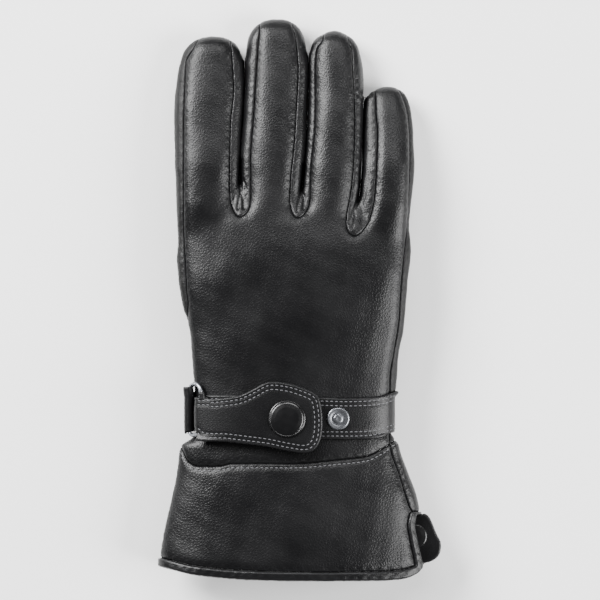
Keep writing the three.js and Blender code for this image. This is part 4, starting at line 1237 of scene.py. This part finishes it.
def keeper_strip():
    """The keeper's path: round the ring's outer leg, with its upper layer over the strap's end."""
    middle = KEEPER_THICKNESS / 2
    fold = ROUND_RING + middle
    under = layer(KEEPER_START - 1, LEG_B, LEG_OFFSET - fold, LAY_GAP + middle)
    over = layer(LEG_B, KEEPER_START + KEEPER_OVERLAP, LEG_OFFSET + fold, BASE_HIGH + LAY_GAP + middle)
    return Strip(under, LEG_B, -1, fold, over)


STRAP = strap_strip()
KEEPER = keeper_strip()


def laid_flat(edge, chosen):
    """An edge of the picture as flat points of a stretch of the strap."""
    places = from_picture(edge)
    known_x = STRAP.points[chosen, 0]
    order = np.argsort(known_x)
    u = np.interp(places[:, 0], known_x[order], STRAP.u[chosen][order])
    return np.stack([u, places[:, 1] - STRAP_Y], 1)


def strap_outline(whole):
    """The strap cut flat: a band and the shaped flap. Unless it is whole, it is narrower where it
    goes round the ring, with a small square of leather beside the ring's corner."""
    half = STRAP_WIDTH / 2
    start, end, lap = STRAP.fold_start, STRAP.fold_end, STRAP.lap
    corners = laid_flat(FLAP_EDGE, STRAP.u >= end)
    flap = rounded_path(corners[4:])
    if not whole:
        flap = np.vstack([corners[:4], flap])
    on_back = (STRAP.u <= start) & (STRAP.points[:, 1] > WRIST_MIDDLE[1])
    top = rounded_path(laid_flat(BASE_TOP, on_back))
    bottom = rounded_path(laid_flat(BASE_BOTTOM, on_back))
    side = top[0, 0] - STRAP_ROUND_SIDE
    palm = top[0, 0] - 3 * STRAP_ROUND_SIDE
    low_fold = -half if whole else RING_LOW + ROUND_RING
    return np.vstack([
        [[0, half], [palm, half], [side, top[0, 1] - 1]],
        top,
        [[start - 2.4, half], [flap[0, 0] - 2, half]],
        flap,
        [[end - 0.4 * lap, flap[-1, 1] + 0.6], [end - lap, low_fold], [start - 1, low_fold]],
        bottom,
        [[side, bottom[-1, 1] - 1], [palm, -half], [0, -half]],
    ])


def keeper_outline():
    """The keeper cut flat, narrower where it goes round the ring than on both sides of it."""
    low, high = RING_LOW + ROUND_RING, STRAP_WIDTH / 2 + 2 * RING_SHIFT
    start, end, lap = KEEPER.fold_start, KEEPER.fold_end, KEEPER.lap
    return np.array([
        [0, KEEPER_LOW], [start - 0.8, low], [end - lap - 0.2, low], [end - lap + 0.4, low - 0.8],
        [end + 1, low - 1.2], [end + 3, low - 0.4], [end + 5, low], [KEEPER.length, KEEPER_LOW],
        [KEEPER.length, high - 3], [end + 6, high - 2.4], [end + 3, high - 1], [end + 1, high],
        [start - 1, high], [start - 3, high - 1], [start - 6, high - 2.4], [0, high - 3],
    ])


def flat_leather(outline, spacing=0.75):
    """A sheet cut to a closed outline, as flat points, triangles and distances to the edge."""
    u, v = (np.arange(low - 1, high + 1, spacing) for low, high in zip(outline.min(0), outline.max(0)))
    grid_u, grid_v = np.meshgrid(u, v, indexing="ij")
    points = np.stack([grid_u.ravel(), grid_v.ravel(), np.zeros(grid_u.size)], 1)
    here, beside, ahead, across = grid_corners(len(u), len(v))
    faces = np.vstack([np.stack([here, ahead, across], 1), np.stack([here, across, beside], 1)])
    faces = faces[(within(points, outline)[faces] > -1.5).all(1)]
    points, faces = compact(points, faces)
    points, faces = refine(points, faces, lambda some: np.abs(within(some, outline)), 1.6)
    inner, _ = cut(points, faces, lambda some: within(some, outline))
    points, faces = compact(*inner)
    return points, faces, np.abs(within(points, outline))


def band_of_leather(name, outline, place, node, thickness, rows=(), rows_in=None, roll=0.8):
    """A strap, flap or tab: a flat sheet set in its place. rows are the distances of its rows of
    stitches from the outline rows_in; their lines are returned, flat."""
    flat, faces, distance = flat_leather(outline)
    pressed = -0.12 * ease(distance, 1, 5)
    lines = []
    for row in rows:
        away = np.maximum(within(flat, rows_in), 0) - row
        pressed = pressed + 0.16 * hump(away, 0.45)
        lines += contour(flat, faces, away)
    half = thickness / 2
    points, faces, distance = shell(place(flat), faces, distance, half, roll, half, 0.0, pressed)
    points[:, 2] = np.maximum(points[:, 2], 0)
    make_piece(name, points, faces, node, "strap_leather", distance)
    return lines


def wire_loop():
    """The ring: round wire bent to a loop, with wider bends at its top."""
    leg_a, leg_b = (on_wrist(leg, LEG_OFFSET)[0] for leg in (LEG_A, LEG_B))
    width = np.linalg.norm(leg_b - leg_a)
    across = (leg_b - leg_a) / width
    square = np.array([-across[1], across[0]])
    side, low_side = width / 2 - RING_BEND, width / 2 - RING_CORNER
    high = STRAP_WIDTH / 2 + 2 * RING_SHIFT + ROUND_RING - RING_BEND
    low = RING_LOW + RING_CORNER
    centres = ((side, high), (-side, high), (-low_side, low), (low_side, low))
    bends = (RING_BEND, RING_BEND, RING_CORNER, RING_CORNER)
    angle = (np.arange(4)[:, None] + np.linspace(0, 1, 14)) * math.pi / 2
    outward_ray = np.stack([np.cos(angle), np.sin(angle)], 2)
    path = np.array(centres)[:, None] + np.array(bends)[:, None, None] * outward_ray
    turn = np.linspace(0, 2 * math.pi, 24, endpoint=False)[:, None]
    flat = path.reshape(-1, 1, 2) + outward_ray.reshape(-1, 1, 2) * np.cos(turn) * RING_WIRE / 2
    plane = (leg_a + leg_b) / 2 + flat[..., :1] * across + np.sin(turn) * RING_WIRE / 2 * square
    rings = np.stack([plane[..., 0], STRAP_Y + flat[..., 1], plane[..., 1]], 2)
    return outward(rings.reshape(-1, 3), ring_faces(*rings.shape[:2], True))


strap_rows = band_of_leather("wrist_strap_leather", strap_outline(False), STRAP.place, "wrist_strap",
                             STRAP_THICKNESS, (FIRST_ROW, SECOND_ROW), strap_outline(True))
band_of_leather("ring_keeper_leather", keeper_outline(), KEEPER.place, "ring_keeper", KEEPER_THICKNESS,
                roll=0.65)
make_piece("strap_ring_wire", *wire_loop(), "strap_ring", "gunmetal")


# Snaps

def rounded_profile(rows, radius, steps=5):
    """A turned outline with its corners rounded."""
    made = [rows[0]]
    for before, corner, after in zip(rows, rows[1:], rows[2:]):
        into = np.linalg.norm(before - corner)
        away = np.linalg.norm(after - corner)
        reach = min(radius, into / 2.2, away / 2.2)
        start = corner + (before - corner) / into * reach
        end = corner + (after - corner) / away * reach
        for t in np.arange(steps + 1) / steps:
            made.append((1 - t) ** 2 * start + 2 * t * (1 - t) * corner + t**2 * end)
    return np.array(made + [rows[-1]])


def turned_part(name, node, slot, middle, up, rows, radius=0.25, sides=72):
    """A turned part: radius and height pairs from its axis and back to it, set along a direction."""
    profile = rounded_profile(np.array(rows, float), radius)
    turn = np.linspace(0, 2 * math.pi, sides, endpoint=False)[:, None]
    side = np.cross([0.0, 1.0, 0.0], up)
    side = side / np.linalg.norm(side)
    ray = np.cos(turn) * side + np.sin(turn) * np.cross(up, side)
    rings = middle + profile[:, None, :1] * ray + profile[:, None, 1:] * np.array(up, float)
    make_piece(name, *outward(*tube(rings)), node, slot)


def at_wrist(degrees, offset):
    """A point on the strap's middle line and the direction outwards there."""
    (x, z), (out_x, out_z) = on_wrist(degrees, offset)
    return (x, STRAP_Y, z), (out_x, 0, out_z)


CAP_X = RING_LEG_X - ROUND_RING - STRAP_THICKNESS + FLAP_LENGTH - CAP_FROM_FLAP_END
CAP_DEGREES = degrees_at_x(CAP_X, FLAP_HIGH)
STUD_DEGREES = degrees_at_x(CAP_X + STUD_SPACING, BASE_HIGH)
TAB_HIGH = SLIT_MIDDLE - SLIT_LOW + LAY_GAP + TAB_THICKNESS

cap, stud, knob, tab_snap = (
    diameter / 2 for diameter in (CAP_DIAMETER, STUD_DIAMETER, KNOB_DIAMETER, TAB_SNAP_DIAMETER)
)
turned_part("snap_cap_dome", "snap_cap", "black_enamel", *at_wrist(CAP_DEGREES, FLAP_HIGH), [
    (0.01, -0.6), (cap * 0.9, -0.6), (cap, -0.1), (cap, 0.75), (cap - 0.55, 1.15), (cap - 1.0, 0.95),
    (cap - 1.5, 1.2), (cap * 0.62, 1.6), (cap * 0.3, 1.76), (0.01, CAP_HEIGHT),
])
turned_part("snap_stud_spare_post", "snap_stud_spare", "gunmetal", *at_wrist(STUD_DEGREES, BASE_HIGH), [
    (0.01, -0.8), (stud * 0.9, -0.8), (stud, 0.05), (stud, 0.5), (stud - 0.5, 0.95), (stud * 0.68, 0.8),
    (knob + 0.75, 0.62), (knob - 0.2, 0.66), (knob - 0.25, 1.3), (knob, 1.65),
    (knob - 0.15, KNOB_HEIGHT + 0.1), (knob * 0.55, KNOB_HEIGHT + 0.25), (0.01, KNOB_HEIGHT + 0.1),
], 0.2)
turned_part("snap_stud_closed_post", "snap_stud_closed", "gunmetal", *at_wrist(CAP_DEGREES, BASE_HIGH), [
    (0.01, -0.8), (4.3, -0.8), (4.5, 0.1), (4.5, 0.5), (knob, 0.6), (knob, 2.4), (0.01, 2.5),
])


def tab_place(flat):
    return flat + np.array([0, 0, TAB_HIGH - TAB_THICKNESS / 2])


band_of_leather("cuff_tab_leather", rounded_path(from_picture(TAB_EDGE)), tab_place, "cuff_tab",
                TAB_THICKNESS)
turned_part("cuff_tab_snap_dome", "cuff_tab_snap", "black_enamel",
            np.array([*from_picture(TAB_SNAP)[0], TAB_HIGH]), (0, 0, 1), [
    (0.01, -0.6), (tab_snap * 0.9, -0.6), (tab_snap, 0), (tab_snap, 0.55), (tab_snap - 0.5, 0.95),
    (tab_snap * 0.55, 1.2), (0.01, TAB_SNAP_HEIGHT),
])


# Thumb, folded under the palm

def thumb_skin(sides=72, stations=110):
    """The thumb and its collar up to the palm, with each point's distance from the seam round it."""
    along = (1 - np.cos(np.linspace(0.03, math.pi - 0.03, stations))) / 2
    width = THUMB_WIDTH * smooth(THUMB_ROWS["along"], THUMB_ROWS["width"], along)
    height = THUMB_HEIGHT * smooth(THUMB_ROWS["along"], THUMB_ROWS["height"], along)
    middle = THUMB_HEIGHT / 2
    mouth_y = THUMB_LENGTH * MOUTH_AT
    body = tube(oval_rings(THUMB_LENGTH * along, -width / 2, width / 2, middle - height / 2,
                           middle + height / 2, THUMB_SQUARENESS, sides))
    turn = np.linspace(0, 2 * math.pi, sides, endpoint=False)
    collar = tube(np.stack([
        np.stack([
            (MOUTH_WIDTH / 2 + wide) * np.cos(turn),
            mouth_y + (MOUTH_LENGTH / 2 + wide) * np.sin(turn),
            np.full(sides, level),
        ], 1)
        for level, wide in ((PALM_LIFT + 3, 0), (THUMB_HEIGHT, 1.2), (THUMB_HEIGHT / 2, 1.5))
    ]))
    points, faces = skin_over([outward(*body), outward(*collar)], 6)
    x, y, z = points.T
    off_mouth = np.hypot(x / (MOUTH_WIDTH / 2 + 3), (y - mouth_y) / (MOUTH_LENGTH / 2 + 3)) > 1
    level = z - middle
    away = np.where(off_mouth | (level < 1), np.abs(level), 9)
    relief = ripple(points * 1.4) - 0.9 * hump(away, 0.8)
    x, y, z = (points + point_normals(points, faces) * relief[:, None]).T
    cos, sin = math.cos(THUMB_TURN), math.sin(THUMB_TURN)
    placed = np.stack([THUMB_X + x * cos - y * sin, THUMB_Y + x * sin + y * cos, np.maximum(z, 0)], 1)
    return placed, faces, away


thumb_points, thumb_faces, thumb_seam = thumb_skin()
make_piece("thumb_leather", thumb_points, thumb_faces, "thumb", "black_leather", thumb_seam + 0.6)


# Topstitching

def stitch_tree():
    """Geometry nodes: a stitch at every pitch along a line, turned along it."""
    tree = bpy.data.node_groups.new("topstitch_row", "GeometryNodeTree")
    tree.is_modifier = True
    tree.interface.new_socket("Geometry", in_out="INPUT", socket_type="NodeSocketGeometry")
    sockets = {}
    for name, kind in (("Pitch", "Float"), ("Stitch Length", "Float"), ("Thread Radius", "Float"),
                       ("Thread", "Material")):
        socket = tree.interface.new_socket(name, in_out="INPUT", socket_type="NodeSocket" + kind)
        sockets[name] = socket.identifier
    tree.interface.new_socket("Geometry", in_out="OUTPUT", socket_type="NodeSocketGeometry")
    given = add(tree, "NodeGroupInput").outputs
    curve = add(tree, "GeometryNodeMeshToCurve", Mesh=given["Geometry"])
    spaced = add(tree, "GeometryNodeResampleCurve", {"mode": "LENGTH"}, Curve=curve, Length=given["Pitch"])
    way = add(tree, "GeometryNodeInputTangent")
    turned = add(tree, "FunctionNodeAlignRotationToVector", {"axis": "X"}, Vector=way)
    bead = add(tree, "GeometryNodeMeshUVSphere", Segments=8, Rings=6, Radius=1.0)
    half = add(tree, "ShaderNodeMath", {"operation": "MULTIPLY"}, _0=given["Stitch Length"], _1=0.5)
    size = add(tree, "ShaderNodeCombineXYZ", X=half, Y=given["Thread Radius"], Z=given["Thread Radius"])
    placed = add(tree, "GeometryNodeInstanceOnPoints", Points=spaced, Instance=bead, Rotation=turned,
                 Scale=size)
    real = add(tree, "GeometryNodeRealizeInstances", Geometry=placed)
    even = add(tree, "GeometryNodeSetShadeSmooth", Geometry=real)
    dressed = add(tree, "GeometryNodeSetMaterial", Geometry=even, Material=given["Thread"])
    add(tree, "NodeGroupOutput", Geometry=dressed)
    return tree, sockets


STITCH_TREE, STITCH_SOCKETS = stitch_tree()


def stitch_rows(name, rows):
    """Rows of topstitching along lines of points in millimetres."""
    mesh = bpy.data.meshes.new(name)
    edges = []
    start = 0
    for row in rows:
        edges += [(start + step, start + step + 1) for step in range(len(row) - 1)]
        start += len(row)
    mesh.from_pydata((np.vstack(rows) * MM).tolist(), edges, [])
    stitches = bpy.data.objects.new(name, mesh)
    bpy.context.scene.collection.objects.link(stitches)
    modifier = stitches.modifiers.new("stitches", "NODES")
    modifier.node_group = STITCH_TREE
    for key, value in (("Pitch", STITCH_PITCH * MM), ("Stitch Length", STITCH_LENGTH * MM),
                       ("Thread Radius", THREAD_RADIUS * MM), ("Thread", THREAD)):
        modifier[STITCH_SOCKETS[key]] = value
    graph = bpy.context.evaluated_depsgraph_get()
    made = bpy.data.meshes.new_from_object(stitches.evaluated_get(graph))
    stitches.modifiers.remove(modifier)
    stitches.data = made
    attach(stitches, "root")


def on_both_layers(lines):
    """The strap's rows, on the outer side of the band and of the flap, and not in the fold."""
    rows = []
    lift = STRAP_THICKNESS / 2
    for line in lines:
        u = line[:, 0]
        for chosen, side in ((u < STRAP.fold_start - 0.5, lift), (u > STRAP.fold_end + 0.5, -lift)):
            ends = np.flatnonzero(np.diff(chosen.astype(int))) + 1
            for piece, kept in zip(np.split(line, ends), np.split(chosen, ends)):
                if kept[0] and len(piece) > 3:
                    rows.append(STRAP.place(piece, side))
    return rows


stitch_rows("strap_topstitching", on_both_layers(strap_rows))
stitch_rows("cuff_topstitching", [line for line in cuff_rows if len(line) > 8])


# Floor, lights and camera

def lamp(name, place, size, power, target=(0, 0, 0.01)):
    light = bpy.data.lights.new(name, "AREA")
    light.shape = "RECTANGLE"
    light.size, light.size_y = size
    light.energy = power
    holder = bpy.data.objects.new(name, light)
    holder.location = place
    holder.rotation_euler = (Vector(target) - Vector(place)).to_track_quat("-Z", "Y").to_euler()
    bpy.context.scene.collection.objects.link(holder)


def studio():
    """A sheet of pale paper just under the glove, and soft light from three sides."""
    material, tree, place = new_material("pale_paper")
    fibre = add(tree, "ShaderNodeTexNoise", Vector=place, Scale=1 / (1.5 * MM), Detail=3.0)
    bump = add(tree, "ShaderNodeBump", Height=fibre, Distance=0.01 * MM, Strength=1.0)
    finish_material(material, Base_Color=linear("#f4f4f4"), Roughness=0.8, Normal=bump)
    half, low = FLOOR_HALF, -FLOOR_DROP
    corners = np.array([[-half, -half, low], [half, -half, low], [half, half, low], [-half, half, low]])
    floor = make_piece("floor", corners, np.array([[0, 1, 2, 3]]))
    floor.data.materials.append(material)
    world = bpy.data.worlds.new("soft_light")
    world.use_nodes = True
    background = world.node_tree.nodes["Background"].inputs
    background["Color"].default_value = linear("#ffffff")
    background["Strength"].default_value = 0.15
    bpy.context.scene.world = world
    lamp("key", (-1.1, 0.9, 1.0), (0.9, 0.9), 110)
    lamp("fill", (1.3, -0.3, 0.9), (1.0, 1.0), 60)
    lamp("back", (0.3, 1.15, 1.3), (1.2, 0.5), 20)


def camera():
    """Straight above the glove, far off with a long lens, as the flat drawing is seen."""
    data = bpy.data.cameras.new("camera")
    data.lens = 600
    data.sensor_width = 36
    data.clip_start = 0.1
    data.clip_end = 50
    distance = PICTURE_SIZE * PIXEL * MM * data.lens / data.sensor_width
    holder = bpy.data.objects.new("camera", data)
    holder.location = ((PICTURE_SIZE / 2 - PICTURE_X) * PIXEL * MM, 0, distance + 0.012)
    bpy.context.scene.collection.objects.link(holder)
    bpy.context.scene.camera = holder


camera()
studio()
